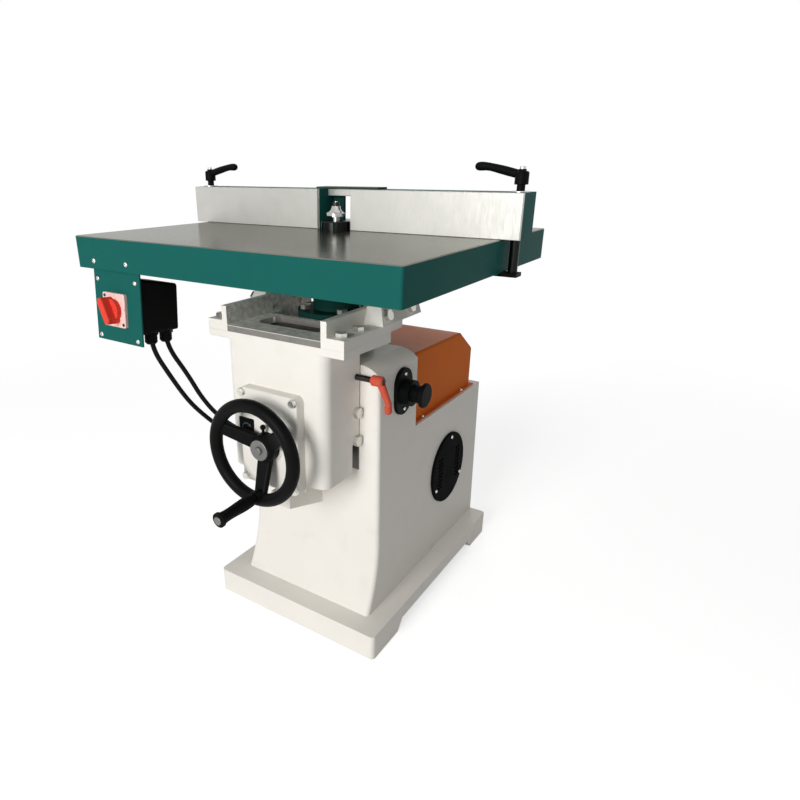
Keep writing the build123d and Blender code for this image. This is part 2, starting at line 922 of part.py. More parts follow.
with BuildPart() as router_bit:
    shank_bottom = collet_nut_top - bit_shank
    disc(level(shank_bottom, axis_x, axis_y), bit_shank_radius, cutter_top - shank_bottom)
    with BuildSketch(side(axis_x, axis_y)):
        with BuildLine():
            Polyline(
                (0, cutter_top),
                (0, cutter_bottom),
                (cutter_radius, cutter_bottom),
                (cutter_radius, cutter_bottom + cutter_land),
            )
            cove = TangentArc(
                (cutter_radius, cutter_bottom + cutter_land), (cutter_neck, cutter_top), tangent=(-1, 0.2)
            )
            Line(cove @ 1, (0, cutter_top))
        make_face()
    revolve(axis=Axis((axis_x, axis_y, 0), (0, 0, 1)))
    for way in (1, -1):
        flute_y = axis_y + way * (cutter_flute + cutter_radius / 2)
        block(
            level(cutter_bottom, axis_x + way * (cutter_radius - cutter_flute), flute_y),
            2 * cutter_radius,
            cutter_radius,
            cutter_height,
            Mode.SUBTRACT,
        )
    disc(level(cutter_top, axis_x, axis_y), pilot_radius, bit_tip - cutter_top)
save(router_bit, "router_bit")

with BuildPart() as bit_bearing:
    with BuildSketch(level(cutter_top + bit_bearing_gap, axis_x, axis_y)):
        Circle(bit_bearing_radius)
        Circle(pilot_radius + seat_fit, mode=Mode.SUBTRACT)
    extrude(amount=bit_bearing_width)
    fillet(faces().sort_by(Axis.Z)[-1].edges().sort_by(SortBy.RADIUS)[-1], bit_bearing_edge)
save(bit_bearing, "bit_bearing")

# Spindle lock
with BuildPart() as lock_flange:
    with BuildSketch(side(lock_seat_x, axis_y, lock_z)):
        SlotOverall(lock_flange_height, lock_flange_width, rotation=90)
    extrude(amount=lock_flange_thickness)
    fillet(faces().sort_by(Axis.X)[-1].edges(), lock_flange_edge)
    disc(side(lock_seat_x, axis_y, lock_z), lock_boss_radius, lock_boss)
    disc(side(lock_seat_x, axis_y, lock_z), lock_stem_radius + run_fit, lock_boss, Mode.SUBTRACT)
    disc(
        side(lock_seat_x + lock_boss, axis_y, lock_z),
        lock_waist_radius + slide_gap,
        -lock_travel - lock_knob_gap,
        Mode.SUBTRACT,
    )
save(lock_flange, "lock_flange")

lock_pin_tip = axis_x + lock_collar_radius + lock_pin_tip_gap
lock_boss_end = lock_seat_x + lock_boss
lock_knob_start = lock_boss_end + lock_travel + lock_knob_gap
lock_knob_end = lock_knob_start + lock_knob_length

with BuildPart() as lock_knob:
    with BuildSketch(Plane(origin=(0, axis_y, lock_z), x_dir=(1, 0, 0), z_dir=(0, -1, 0))):
        with BuildLine():
            Polyline(
                (lock_pin_tip, 0),
                (lock_pin_tip, lock_pin_radius - lock_pin_taper),
                (lock_pin_tip + lock_pin_taper, lock_pin_radius),
                (lock_seat_x - lock_stem_back, lock_pin_radius),
                (lock_seat_x - lock_stem_back, lock_stem_radius),
                (lock_boss_end - lock_end_play, lock_stem_radius),
                (lock_boss_end - lock_end_play, lock_waist_radius),
                (lock_knob_start, lock_waist_radius),
            )
            flare = TangentArc(
                (lock_knob_start, lock_waist_radius),
                (lock_knob_start + lock_knob_flare, lock_knob_radius),
                tangent=(1, 0),
            )
            rim = Line(flare @ 1, (lock_knob_end - lock_knob_round, lock_knob_radius))
            cap = TangentArc(rim @ 1, (lock_knob_end, lock_knob_radius - lock_knob_round), tangent=(1, 0))
            Polyline(cap @ 1, (lock_knob_end, 0), (lock_pin_tip, 0))
        make_face()
    revolve(axis=Axis((0, axis_y, lock_z), (1, 0, 0)))
save(lock_knob, "lock_knob")

# Vent cover, two stacks of slots near its sides
with BuildPart() as vent_cover:
    disc(right_wall(vent_y, vent_z), vent_radius, vent_thickness)
    fillet(faces().sort_by(Axis.X)[-1].edges(), vent_edge)
    with BuildSketch(right_wall(vent_y, vent_z)):
        for column in (-1, 1):
            for row in range(-4, 5):
                with Locations((column * vent_slot_x, row * vent_slot_pitch)):
                    SlotOverall(vent_slot_length, vent_slot_width)
    extrude(amount=vent_thickness, mode=Mode.SUBTRACT)
save(vent_cover, "vent_cover")

# Belt cover, bent sheet with a flange on the rim
with BuildPart() as belt_cover:
    with BuildSketch(side(axis_x)):
        Polygon(
            (cover_front, rim_height),
            (cover_front, cover_top),
            (cover_chamfer_y, cover_top - cover_fall),
            (cover_back, cover_chamfer_z),
            (cover_back, rim_height),
            align=None,
        )
    extrude(amount=cover_half, both=True)
    cover_edges = edges().filter_by(
        lambda e: e.center().Z > rim_height + cover_bend and e.center().Y > cover_front + cover_bend
    )
    fillet(cover_edges, cover_bend)
    flange_depth = cover_flange_back - cover_front
    block(
        level(rim_height, axis_x, cover_front + flange_depth / 2),
        2 * cover_flange_half,
        flange_depth,
        cover_flange,
    )
    with BuildSketch(side(axis_x)):
        Polygon(
            (cover_front, rim_height),
            (cover_front, cover_top - cover_sheet),
            (cover_chamfer_y - cover_sheet / 2, cover_top - cover_fall - cover_sheet),
            (cover_back - cover_sheet, cover_chamfer_z - cover_sheet / 2),
            (cover_back - cover_sheet, rim_height),
            align=None,
        )
    extrude(amount=cover_half - cover_sheet, both=True, mode=Mode.SUBTRACT)
save(belt_cover, "belt_cover")

# Glands where the cables enter the column
with BuildPart() as column_glands:
    for run in (front_run, rear_run):
        mouth = column_gland(run)
        disc(mouth, column_gland_radius, -gland_shank)
        with BuildSketch(mouth):
            RegularPolygon(column_gland_nut_radius, 6)
        extrude(amount=gland_nut)
        disc(mouth.offset(-gland_shank), cable_radius + run_fit, gland_shank + gland_nut, Mode.SUBTRACT)
save(column_glands, "column_glands")

# Knee
knee_room_half = knee_half - casting_wall
knee_room_front = knee_front + casting_wall
jaw_face = way_face - slide_gap
jaw_root = way_root_half + slide_gap
jaw_tip = way_tip_half + slide_gap
plate_z = (plate_bottom + plate_top) / 2
saddle_bolt_x = (saddle_wall_outer + knee_ledge_half) / 2
saddle_bolt_y = (knee_front + saddle_bolt_inset, knee_front + saddle_bolt_inset + saddle_bolt_pitch)
saddle_bolt_spots = [(axis_x + way * saddle_bolt_x, y) for way in (-1, 1) for y in saddle_bolt_y]
gib_screw_z = (knee_top - gib_screw_drop, knee_top - gib_screw_drop - gib_screw_pitch)


def saddle_outline():
    """Ledges reach back past the floor, which stops clear of the spindle cartridge."""
    with Locations((0, (knee_front + knee_ledge_back) / 2)):
        Rectangle(2 * knee_ledge_half, knee_ledge_back - knee_front)
    with Locations((0, (knee_floor_back + knee_ledge_back) / 2)):
        Rectangle(2 * knee_arm_inner, knee_ledge_back - knee_floor_back, mode=Mode.SUBTRACT)


def window():
    with Locations((0, (window_front + window_back) / 2)):
        RectangleRounded(2 * window_half, window_back - window_front, window_corner)


with BuildPart() as knee_casting:
    with BuildSketch(level(knee_bottom)):
        with Locations((0, (knee_front + knee_back) / 2)):
            Rectangle(2 * knee_half, knee_back - knee_front)
        fillet(vertices().group_by(Axis.Y)[0], knee_corner)
    extrude(amount=knee_top - knee_bottom)
    block(
        level(knee_bottom, axis_x, (knee_room_front + knee_back) / 2),
        2 * knee_room_half,
        knee_back - knee_room_front,
        knee_top - knee_flange - knee_bottom,
        Mode.SUBTRACT,
    )
    block(
        level(web_bottom, axis_x, (knee_room_front + knee_back) / 2),
        2 * knee_room_half,
        knee_back - knee_room_front,
        web_thickness,
    )
    with BuildSketch(level(knee_top - knee_flange)):
        saddle_outline()
    extrude(amount=knee_flange)
    # Ledges grow thicker towards their rear ends
    for way in (-1, 1):
        with BuildSketch(side(axis_x + way * knee_arm_inner)):
            Polygon(
                (knee_front, knee_top - knee_flange),
                (knee_ledge_back, knee_top - knee_flange),
                (knee_ledge_back, knee_top - knee_flange_rear),
                align=None,
            )
        extrude(amount=way * (knee_ledge_half - knee_arm_inner))
    with BuildSketch(level(jaw_bottom)):
        Polygon(
            (-knee_half, knee_back),
            (-knee_half, jaw_face),
            (-jaw_root, jaw_face),
            (-jaw_tip, knee_back),
            align=None,
        )
        Polygon(
            (knee_half, knee_back),
            (knee_half, jaw_face),
            (jaw_root + gib_width + seat_fit, jaw_face),
            (jaw_tip + gib_width + seat_fit, knee_back),
            align=None,
        )
    extrude(amount=knee_top - knee_flange - jaw_bottom)
    with BuildSketch(level(knee_top - knee_flange)):
        window()
    extrude(amount=knee_flange, mode=Mode.SUBTRACT)
    # Lugs hang below the front wall for the bearing plate's lower bolts
    lug_top = knee_bottom + casting_wall
    for way in (-1, 1):
        block(
            front(knee_front + casting_wall, axis_x + way * plate_bolt_x, (plate_bottom + lug_top) / 2),
            2 * lug_half,
            lug_top - plate_bottom,
            casting_wall,
        )
    disc(level(web_bottom, axis_x, screw_y), nut_bush_radius + seat_fit, web_thickness, Mode.SUBTRACT)
    disc(front(knee_front, axis_x, wheel_z), spigot_radius + seat_fit, -casting_wall, Mode.SUBTRACT)
    for way in (-1, 1):
        for rise in (-1, 1):
            spot = front(knee_front, axis_x + way * plate_bolt_x, plate_z + rise * plate_bolt_z)
            bolt_hole(spot, casting_wall)
    for spot in saddle_bolt_spots:
        bolt_hole(level(knee_top, *spot), knee_flange_rear)
    jaw_width = knee_half - jaw_root
    for z in gib_screw_z:
        bolt_hole(side(axis_x + knee_half, knee_lever_y, z), jaw_width)
    disc(
        side(axis_x + knee_half, knee_lever_y, knee_lever_z),
        knee_stud_radius + run_fit,
        -jaw_width,
        Mode.SUBTRACT,
    )
save(knee_casting, "knee_casting")

with BuildPart() as knee_gib:
    with BuildSketch(level(jaw_bottom + gib_end)):
        Polygon(
            (jaw_root, jaw_face),
            (jaw_root + gib_width, jaw_face),
            (jaw_tip + gib_width, knee_back),
            (jaw_tip, knee_back),
            align=None,
        )
    extrude(amount=knee_top - knee_flange - jaw_bottom - 2 * gib_end)
save(knee_gib, "knee_gib")

gib_outer = (jaw_root + jaw_tip) / 2 + gib_width
gib_reach = knee_half - gib_outer - gib_screw_short

with BuildPart() as gib_screws:
    for z in gib_screw_z:
        hex_bolt(side(axis_x + knee_half, knee_lever_y, z), gib_reach)
save(gib_screws, "gib_screws")

# Bearing plate on the knee front
with BuildPart() as bearing_plate:
    with BuildSketch(front(knee_front, axis_x, plate_z)):
        RectangleRounded(2 * plate_half, plate_top - plate_bottom, plate_corner)
    extrude(amount=plate_thickness)
    fillet(faces().sort_by(Axis.Y)[0].edges(), plate_edge)
    disc(front(knee_front - plate_thickness, axis_x, wheel_z), plate_boss_radius, plate_boss)
    disc(front(knee_front, axis_x, wheel_z), spigot_radius, knee_front - spigot_end)
    bearing_length = spigot_end - knee_front + plate_thickness + plate_boss
    disc(front(spigot_end, axis_x, wheel_z), shaft_radius + run_fit, bearing_length, Mode.SUBTRACT)
    for way in (-1, 1):
        for rise in (-1, 1):
            spot = front(
                knee_front - plate_thickness, axis_x + way * plate_bolt_x, plate_z + rise * plate_bolt_z
            )
            bolt_hole(spot, plate_thickness)
save(bearing_plate, "bearing_plate")

with BuildPart() as plate_bolts:
    for way in (-1, 1):
        for rise in (-1, 1):
            spot = front(
                knee_front - plate_thickness, axis_x + way * plate_bolt_x, plate_z + rise * plate_bolt_z
            )
            hex_bolt(spot, plate_thickness + casting_wall)
save(plate_bolts, "plate_bolts")

# Lift nut, its bush and the mitre gears
apex = Vector(axis_x, screw_y, wheel_z)
gear_seat = wheel_z - gear_pitch_radius - gear_back

with BuildPart() as nut_bush:
    disc(level(web_bottom, axis_x, screw_y), nut_bush_radius, web_thickness)
    disc(
        level(web_bottom + web_thickness, axis_x, screw_y),
        nut_bush_lip_radius,
        gear_seat - web_bottom - web_thickness,
    )
    disc(level(web_bottom, axis_x, screw_y), nut_radius + run_fit, gear_seat - web_bottom, Mode.SUBTRACT)
save(nut_bush, "nut_bush")

with BuildPart() as lift_nut:
    disc(level(web_bottom, axis_x, screw_y), nut_collar_radius, -nut_collar)
    disc(level(web_bottom, axis_x, screw_y), nut_radius, gear_seat - web_bottom)
    disc(level(gear_seat, axis_x, screw_y), nut_neck_radius, gear_back + gear_face)
    nut_length = nut_collar + gear_seat - web_bottom + gear_back + gear_face
    disc(level(web_bottom - nut_collar, axis_x, screw_y), screw_radius + run_fit, nut_length, Mode.SUBTRACT)
save(lift_nut, "lift_nut")


def gear_outline(reach, phase):
    """Corner points of the toothed outline, the given distance from the apex."""
    scale_here = reach / gear_pitch_radius
    pitch = 2 * pi * gear_pitch_radius / gear_teeth
    rise = tan(radians(gear_flank))
    tip = gear_pitch_radius * gear_tip_slope
    root = gear_pitch_radius * gear_root_slope
    tip_half = pitch * gear_tooth_share / 2 - (tip - gear_pitch_radius) * rise
    root_half = pitch * gear_tooth_share / 2 + (gear_pitch_radius - root) * rise
    corners = []
    for tooth in range(gear_teeth):
        middle = 2 * pi * (tooth + phase) / gear_teeth
        for radius, half in ((root, -root_half), (tip, -tip_half), (tip, tip_half), (root, root_half)):
            angle = middle + half / radius
            corners.append((radius * cos(angle) * scale_here, radius * sin(angle) * scale_here))
    return corners


def mitre_gear(crown, bore, phase):
    """Mitre gear on a plane at the apex, its axis along the plane's normal away from the apex."""
    ends = []
    for reach in (gear_pitch_radius - gear_face, gear_pitch_radius):
        with BuildSketch(crown.offset(reach)) as end:
            Polygon(*gear_outline(reach, phase), align=None)
        ends.append(end.sketch)
    loft(ends, ruled=True)
    disc(crown.offset(gear_pitch_radius), gear_pitch_radius * gear_root_slope, gear_back)
    disc(crown, bore + seat_fit, gear_pitch_radius + gear_back, Mode.SUBTRACT)


gear_down = Plane(origin=apex, x_dir=(0, -1, 0), z_dir=(0, 0, -1))
gear_out = Plane(origin=apex, x_dir=(0, 0, -1), z_dir=(0, -1, 0))

with BuildPart() as nut_gear:
    mitre_gear(gear_down, nut_neck_radius, 0)
save(nut_gear, "nut_gear")

with BuildPart() as shaft_gear:
    mitre_gear(gear_out, shaft_radius, 0.5)
save(shaft_gear, "shaft_gear")

# Handwheel on its shaft
shaft_end = screw_y - gear_pitch_radius + gear_face

with BuildPart() as wheel_shaft:
    disc(front(shaft_end, axis_x, wheel_z), shaft_radius, shaft_end - hub_front - shaft_short)
save(wheel_shaft, "wheel_shaft")

hub_back = knee_front - plate_thickness - plate_boss - hub_gap
hub_axis = Axis((axis_x, 0, wheel_z), (0, 1, 0))
grip_angle = radians(spoke_turn)
grip_x = axis_x + grip_radius * cos(grip_angle)
grip_z = wheel_z + grip_radius * sin(grip_angle)

with BuildPart() as handwheel:
    with BuildSketch(Plane(origin=(axis_x, 0, wheel_z), x_dir=(1, 0, 0), z_dir=(0, 0, 1))):
        with Locations((rim_radius, rim_y)):
            Circle(rim_tube)
        Polygon(
            (0, hub_front),
            (hub_radius - hub_step, hub_front),
            (hub_radius, hub_front + hub_bevel),
            (hub_radius, hub_back),
            (0, hub_back),
            align=None,
        )
    revolve(axis=hub_axis)
    for arm in range(3):
        angle = radians(spoke_turn + 120 * arm)
        out = Vector(cos(angle), 0, sin(angle))
        centre = Vector(axis_x, 0, wheel_z)
        root = centre + out * (hub_radius - spoke_sink) + Vector(0, hub_front + spoke_back, 0)
        end = centre + out * rim_radius + Vector(0, rim_y, 0)
        with BuildSketch(Plane(origin=root, x_dir=(0, 1, 0), z_dir=out)):
            RectangleRounded(spoke_depth, spoke_width, spoke_corner)
        with BuildSketch(Plane(origin=end, x_dir=(0, 1, 0), z_dir=out)):
            RectangleRounded(spoke_end_depth, spoke_end_width, spoke_corner)
        loft()
    disc(front(rim_y, grip_x, grip_z), grip_boss_radius, rim_y - grip_start)
    stud_hole = grip_stud_depth + rim_y - grip_start
    disc(
        front(rim_y + grip_stud_depth, grip_x, grip_z), grip_stud_radius + seat_fit, stud_hole, Mode.SUBTRACT
    )
    disc(front(hub_back, axis_x, wheel_z), shaft_radius + seat_fit, hub_back - hub_front, Mode.SUBTRACT)
save(handwheel, "handwheel")

with BuildPart() as wheel_cap:
    disc(front(hub_front, axis_x, wheel_z), cap_radius, cap_thickness)
    fillet(faces().sort_by(Axis.Y)[0].edges(), cap_edge)
    disc(front(hub_front - cap_thickness, axis_x, wheel_z), cap_screw_radius, cap_thickness)
    chamfer(faces().sort_by(Axis.Y)[0].edges(), cap_edge)
save(wheel_cap, "wheel_cap")

with BuildPart() as grip_stud:
    stud_start = rim_y + grip_stud_depth - grip_stud_short
    washer_y = grip_end + grip_washer
    disc(front(stud_start, grip_x, grip_z), grip_stud_radius, stud_start - washer_y)
    disc(front(washer_y, grip_x, grip_z), grip_washer_radius, grip_washer)
    chamfer(faces().sort_by(Axis.Y)[0].edges(), cap_edge)
save(grip_stud, "grip_stud")

with BuildPart() as handle_grip:
    grip_length = grip_start - grip_end
    grip_far = grip_washer + slide_gap - grip_length
    with BuildSketch(Plane(origin=(grip_x, grip_start, grip_z), x_dir=(1, 0, 0), z_dir=(0, 0, 1))):
        with BuildLine():
            base_line = Line((grip_stud_radius + run_fit, -slide_gap), (grip_neck, -slide_gap))
            swell = Spline(
                base_line @ 1,
                (grip_swell, -0.35 * grip_length),
                (grip_waist, -0.75 * grip_length),
                (grip_shoulder, -0.88 * grip_length),
            )
            Polyline(
                swell @ 1,
                (grip_knob, -0.91 * grip_length),
                (grip_knob, grip_far),
                (grip_stud_radius + run_fit, grip_far),
                base_line @ 0,
            )
        make_face()
    revolve(axis=Axis((grip_x, 0, grip_z), (0, 1, 0)))
save(handle_grip, "handle_grip")

# Saddle on the knee
bracket_tilt = atan2(bracket_foot - bracket_waist, bracket_waist_z - knee_top - saddle_ledge)
bracket_bolt_first = bracket_front + bracket_bolt_inset
bracket_bolt_y = (bracket_bolt_first, bracket_bolt_first + bracket_bolt_pitch)
bracket_bolt_z = knee_top + bracket_bolt_rise
bracket_bolt_x = bracket_foot - tan(bracket_tilt) * (bracket_bolt_z - knee_top - saddle_ledge)


def bracket_bolt(way, y):
    """Seat of a bracket bolt on the leaning outer face, left or right of the centre line."""
    return Plane(
        origin=(axis_x + way * bracket_bolt_x, y, bracket_bolt_z),
        x_dir=(0, 1, 0),
        z_dir=(way * cos(bracket_tilt), 0, sin(bracket_tilt)),
    )


with BuildPart() as saddle_casting:
    with BuildSketch(level(knee_top)):
        saddle_outline()
    extrude(amount=saddle_ledge)
    block(
        level(knee_top + saddle_floor, axis_x, (knee_front + knee_ledge_back) / 2),
        2 * saddle_wall_inner,
        knee_ledge_back - knee_front,
        saddle_ledge,
        Mode.SUBTRACT,
    )
    for way in (-1, 1):
        wall_x = axis_x + way * (saddle_wall_inner + saddle_wall_outer) / 2
        block(
            level(knee_top, wall_x, (knee_front + saddle_wall_back) / 2),
            saddle_wall,
            saddle_wall_back - knee_front,
            saddle_wall_height,
        )
        # Behind the ledge the wall hangs lower
        skirt_front = knee_ledge_back + slide_gap
        block(
            level(knee_top, wall_x, (skirt_front + saddle_wall_back) / 2),
            saddle_wall,
            saddle_wall_back - skirt_front,
            -saddle_skirt,
        )
    with BuildSketch(level(knee_top)):
        window()
    extrude(amount=saddle_floor, mode=Mode.SUBTRACT)
    for spot in saddle_bolt_spots:
        bolt_hole(level(knee_top + saddle_ledge, *spot), saddle_ledge)
    for way in (-1, 1):
        for y in bracket_bolt_y:
            bolt_hole(bracket_bolt(way, y), bracket_grip + saddle_wall)
save(saddle_casting, "saddle_casting")

with BuildPart() as saddle_bolts:
    for spot in saddle_bolt_spots:
        hex_bolt(level(knee_top + saddle_ledge, *spot), saddle_ledge + knee_flange - bolt_gap)
save(saddle_bolts, "saddle_bolts")

# Brackets between saddle and table
table_bolt_x = (bracket_waist + bracket_head) / 2
table_bolt_first = bracket_front + table_bolt_inset
table_bolt_y = (table_bolt_first, table_bolt_first + table_bolt_pitch)
bracket_back = saddle_wall_back

with BuildPart() as bracket_right:
    with BuildSketch(front(bracket_back)):
        Polygon(
            (saddle_wall_outer, knee_top + saddle_ledge),
            (bracket_foot, knee_top + saddle_ledge),
            (bracket_waist, bracket_waist_z),
            (bracket_waist, table_underside - bracket_head_thickness),
            (bracket_head, table_underside - bracket_head_thickness),
            (bracket_head, table_underside),
            (saddle_wall_outer, table_underside),
            align=None,
        )
    extrude(amount=bracket_back - bracket_front)
    with BuildSketch(side(axis_x)):
        Polygon(
            (bracket_front, knee_top + saddle_ledge),
            (bracket_front + bracket_rake, bracket_waist_z),
            (bracket_front + bracket_rake, table_underside),
            (bracket_front, table_underside),
            align=None,
        )
    extrude(amount=bracket_head, mode=Mode.SUBTRACT)
    for y in bracket_bolt_y:
        bolt_hole(bracket_bolt(1, y), bracket_grip + saddle_wall)
    for y in table_bolt_y:
        disc(
            level(table_underside, axis_x + table_bolt_x, y),
            bolt_radius + bolt_gap,
            -bracket_head_thickness,
            Mode.SUBTRACT,
        )
save(bracket_right, "bracket_right")

with BuildPart() as bracket_left:
    mirror(bracket_right.part, about=Plane(origin=(axis_x, 0, 0), z_dir=(1, 0, 0)))
save(bracket_left, "bracket_left")

with BuildPart() as bracket_bolts:
    for way in (-1, 1):
        for y in bracket_bolt_y:
            hex_bolt(bracket_bolt(way, y), bracket_grip)
        for y in table_bolt_y:
            seat = Plane(
                origin=(axis_x + way * table_bolt_x, y, table_underside - bracket_head_thickness),
                z_dir=(0, 0, -1),
            )
            hex_bolt(seat, bracket_head_thickness + table_bolt_depth - bolt_gap)
save(bracket_bolts, "bracket_bolts")

# Table
with BuildPart() as table_casting:
    with BuildSketch(level(apron_bottom, 0, table_y)):
        RectangleRounded(table_length, table_depth, table_corner)
    extrude(amount=apron_height)
    block(
        level(apron_bottom, 0, table_y),
        table_length - 2 * apron_wall,
        table_depth - 2 * apron_wall,
        apron_height - table_plate,
        Mode.SUBTRACT,
    )
    for y in (table_front + table_rib_front, table_front + table_depth - table_rib_rear):
        block(
            level(table_underside - table_rib_drop, 0, y),
            table_length - 2 * apron_wall,
            table_rib,
            table_rib_drop,
        )
    chamfer(faces().sort_by(Axis.Z)[-1].edges(), table_edge)
    disc(level(table_height, axis_x, axis_y), table_hole_radius, -table_plate, Mode.SUBTRACT)
    for way in (-1, 1):
        for y in table_bolt_y:
            disc(
                level(table_underside, axis_x + way * table_bolt_x, y),
                bolt_radius + bolt_gap,
                table_bolt_depth,
                Mode.SUBTRACT,
            )
save(table_casting, "table_casting")

# Fence halves
fence_body_front = fence_front + fence_plate


def fence_body(inner, outer):
    """Box section open below, with a solid block at the outer end for the clamp rod."""
    way = 1 if outer > inner else -1
    depth = fence_back - fence_body_front
    block(
        level(table_height, (inner + outer) / 2, (fence_body_front + fence_back) / 2),
        abs(outer - inner),
        depth,
        fence_height,
    )
    room_inner = inner + way * fence_wall
    room_outer = outer - way * fence_end_block
    block(
        level(table_height, (room_inner + room_outer) / 2, (fence_body_front + fence_back) / 2),
        abs(room_outer - room_inner),
        depth - 2 * fence_wall,
        fence_height - fence_wall,
        Mode.SUBTRACT,
    )
    disc(level(table_height, way * clamp_x, clamp_y), rod_radius + rod_gap, fence_height, Mode.SUBTRACT)


with BuildPart() as fence_left:
    fence_body(mouth_left, -fence_half)
save(fence_left, "fence_left")

with BuildPart() as fence_right:
    fence_body(mouth_right, fence_half)
save(fence_right, "fence_right")

with BuildPart() as fence_plate_left:
    block(
        level(table_height, (mouth_left - fence_half) / 2, fence_front + fence_plate / 2),
        mouth_left + fence_half,
        fence_plate,
        fence_height,
    )
    chamfer(edges().filter_by(Axis.X), fence_plate_edge)
save(fence_plate_left, "fence_plate_left")

with BuildPart() as fence_plate_right:
    block(
        level(table_height, (mouth_right + fence_half) / 2, fence_front + fence_plate / 2),
        fence_half - mouth_right,
        fence_plate,
        fence_height,
    )
    chamfer(edges().filter_by(Axis.X), fence_plate_edge)
save(fence_plate_right, "fence_plate_right")

with BuildPart() as fence_bridge:
    block(
        level(fence_top, (bridge_left + bridge_right) / 2, (bridge_front + fence_back) / 2),
        bridge_right - bridge_left,
        fence_back - bridge_front,
        bridge_thickness,
    )
    block(
        level(fence_top, (mouth_left + mouth_right) / 2, lintel_front + lintel_depth / 2),
        mouth_right - mouth_left - 2 * slide_gap,
        lintel_depth,
        -lintel_drop,
    )
save(fence_bridge, "fence_bridge")

with BuildPart() as chip_guard:
    block(
        level(fence_top, (mouth_left + slide_gap + guard_right) / 2, fence_back - guard_thickness / 2),
        guard_right - mouth_left - slide_gap,
        guard_thickness,
        guard_rise - fence_height,
    )
save(chip_guard, "chip_guard")

# Fence clamps: claws under the table edge, rods and levers
with BuildPart() as clamp_claws:
    for way in (-1, 1):
        block(
            level(claw_top, way * (claw_inner + claw_outer) / 2, clamp_y),
            claw_outer - claw_inner,
            claw_width,
            -claw_thickness,
        )
        disc(level(claw_top, way * clamp_x, clamp_y), rod_radius + run_fit, -claw_thickness, Mode.SUBTRACT)
save(clamp_claws, "clamp_claws")


def clamp_rod(way):
    spot = (way * clamp_x, clamp_y)
    hub_top = fence_top + lever_hub
    disc(level(rod_bottom, *spot), rod_radius, hub_top - rod_bottom)
    disc(level(hub_top, *spot), rod_pin_radius, rod_pin)
    chamfer(faces().sort_by(Axis.Z)[-1].edges(), rod_edge)


with BuildPart() as clamp_rod_left:
    clamp_rod(-1)
save(clamp_rod_left, "clamp_rod_left")

with BuildPart() as clamp_rod_right:
    clamp_rod(1)
save(clamp_rod_right, "clamp_rod_right")


def round_bar(plane, start, start_radius, end, end_radius):
    """Tapered round bar with ball ends between two points of a plane."""
    along = Vector(*end) - Vector(*start)
    slope = degrees(asin((start_radius - end_radius) / along.length))
    bar = Plane(
        origin=plane.from_local_coords(Vector(*start)),
        x_dir=plane.x_dir * along.X + plane.y_dir * along.Y,
        z_dir=plane.z_dir,
    )
    with BuildSketch(bar) as outline:
        with BuildLine():
            first = CenterArc((0, 0), start_radius, 90 - slope, 90 + slope)
            last = CenterArc((along.length, 0), end_radius, 0, 90 - slope)
            Line(first @ 0, last @ 1)
            Line(first @ 1, last @ 0)
        make_face()
    revolve(outline.sketch, axis=Axis(bar.origin, bar.x_dir))


def lever(foot, hub_radius, hub, neck, reach, rise, bore):
    """Clamping lever: hub standing on the foot plane, arm and grip along the plane's x direction."""
    upright = Plane(origin=foot.origin, x_dir=foot.x_dir, z_dir=-foot.y_dir)
    root_height = hub - lever_root_drop
    arm_end = (reach, root_height + rise)
    grip_first = (reach + lever_grip_gap, root_height + rise - lever_grip_drop)
    grip_last = (reach + lever_grip_gap + lever_grip, root_height + rise - lever_grip_drop)
    with BuildSketch(upright) as profile:
        Polygon(
            (0, 0),
            (bore + lever_neck_wall, 0),
            (bore + lever_neck_wall, neck),
            (hub_radius, neck),
            (hub_radius, hub - lever_hub_edge),
            (hub_radius - lever_hub_edge, hub),
            (0, hub),
            align=None,
        )
    revolve(profile.sketch, axis=Axis(foot.origin, foot.z_dir))
    round_bar(upright, (0, root_height), lever_root_radius, arm_end, lever_tip_radius)
    round_bar(upright, grip_first, lever_grip_radius, grip_last, lever_grip_radius)
    disc(foot, bore + seat_fit, 2 * hub, Mode.SUBTRACT)


with BuildPart() as clamp_lever_left:
    lever(
        Plane(origin=(-clamp_x, clamp_y, fence_top), x_dir=(1, 0, 0), z_dir=(0, 0, 1)),
        lever_hub_radius,
        lever_hub,
        lever_neck,
        lever_reach,
        lever_rise,
        rod_radius,
    )
save(clamp_lever_left, "clamp_lever_left")

with BuildPart() as clamp_lever_right:
    lever(
        Plane(origin=(clamp_x, clamp_y, fence_top), x_dir=(-1, 0, 0), z_dir=(0, 0, 1)),
        lever_hub_radius,
        lever_hub,
        lever_neck,
        lever_reach,
        lever_rise,
        rod_radius,
    )
save(clamp_lever_right, "clamp_lever_right")

# Knee clamp lever on its stud
knee_arm = Vector(0, cos(radians(knee_lever_turn)), sin(radians(knee_lever_turn)))

with BuildPart() as knee_lever:
    lever(
        Plane(origin=(knee_lever_start, knee_lever_y, knee_lever_z), x_dir=knee_arm, z_dir=(1, 0, 0)),
        knee_lever_hub_radius,
        knee_lever_hub,
        knee_lever_neck,
        knee_lever_reach,
        knee_lever_rise,
        knee_stud_radius,
    )
save(knee_lever, "knee_lever")

with BuildPart() as knee_lever_stud:
    stud_side = axis_x + knee_half
    stud_length = gib_reach + knee_lever_start - stud_side + knee_lever_hub + knee_stud_end
    disc(side(stud_side - gib_reach, knee_lever_y, knee_lever_z), knee_stud_radius, stud_length)
    disc(
        side(stud_side + slide_gap, knee_lever_y, knee_lever_z),
        knee_stud_collar_radius,
        knee_lever_start - stud_side - slide_gap,
    )
save(knee_lever_stud, "knee_lever_stud")

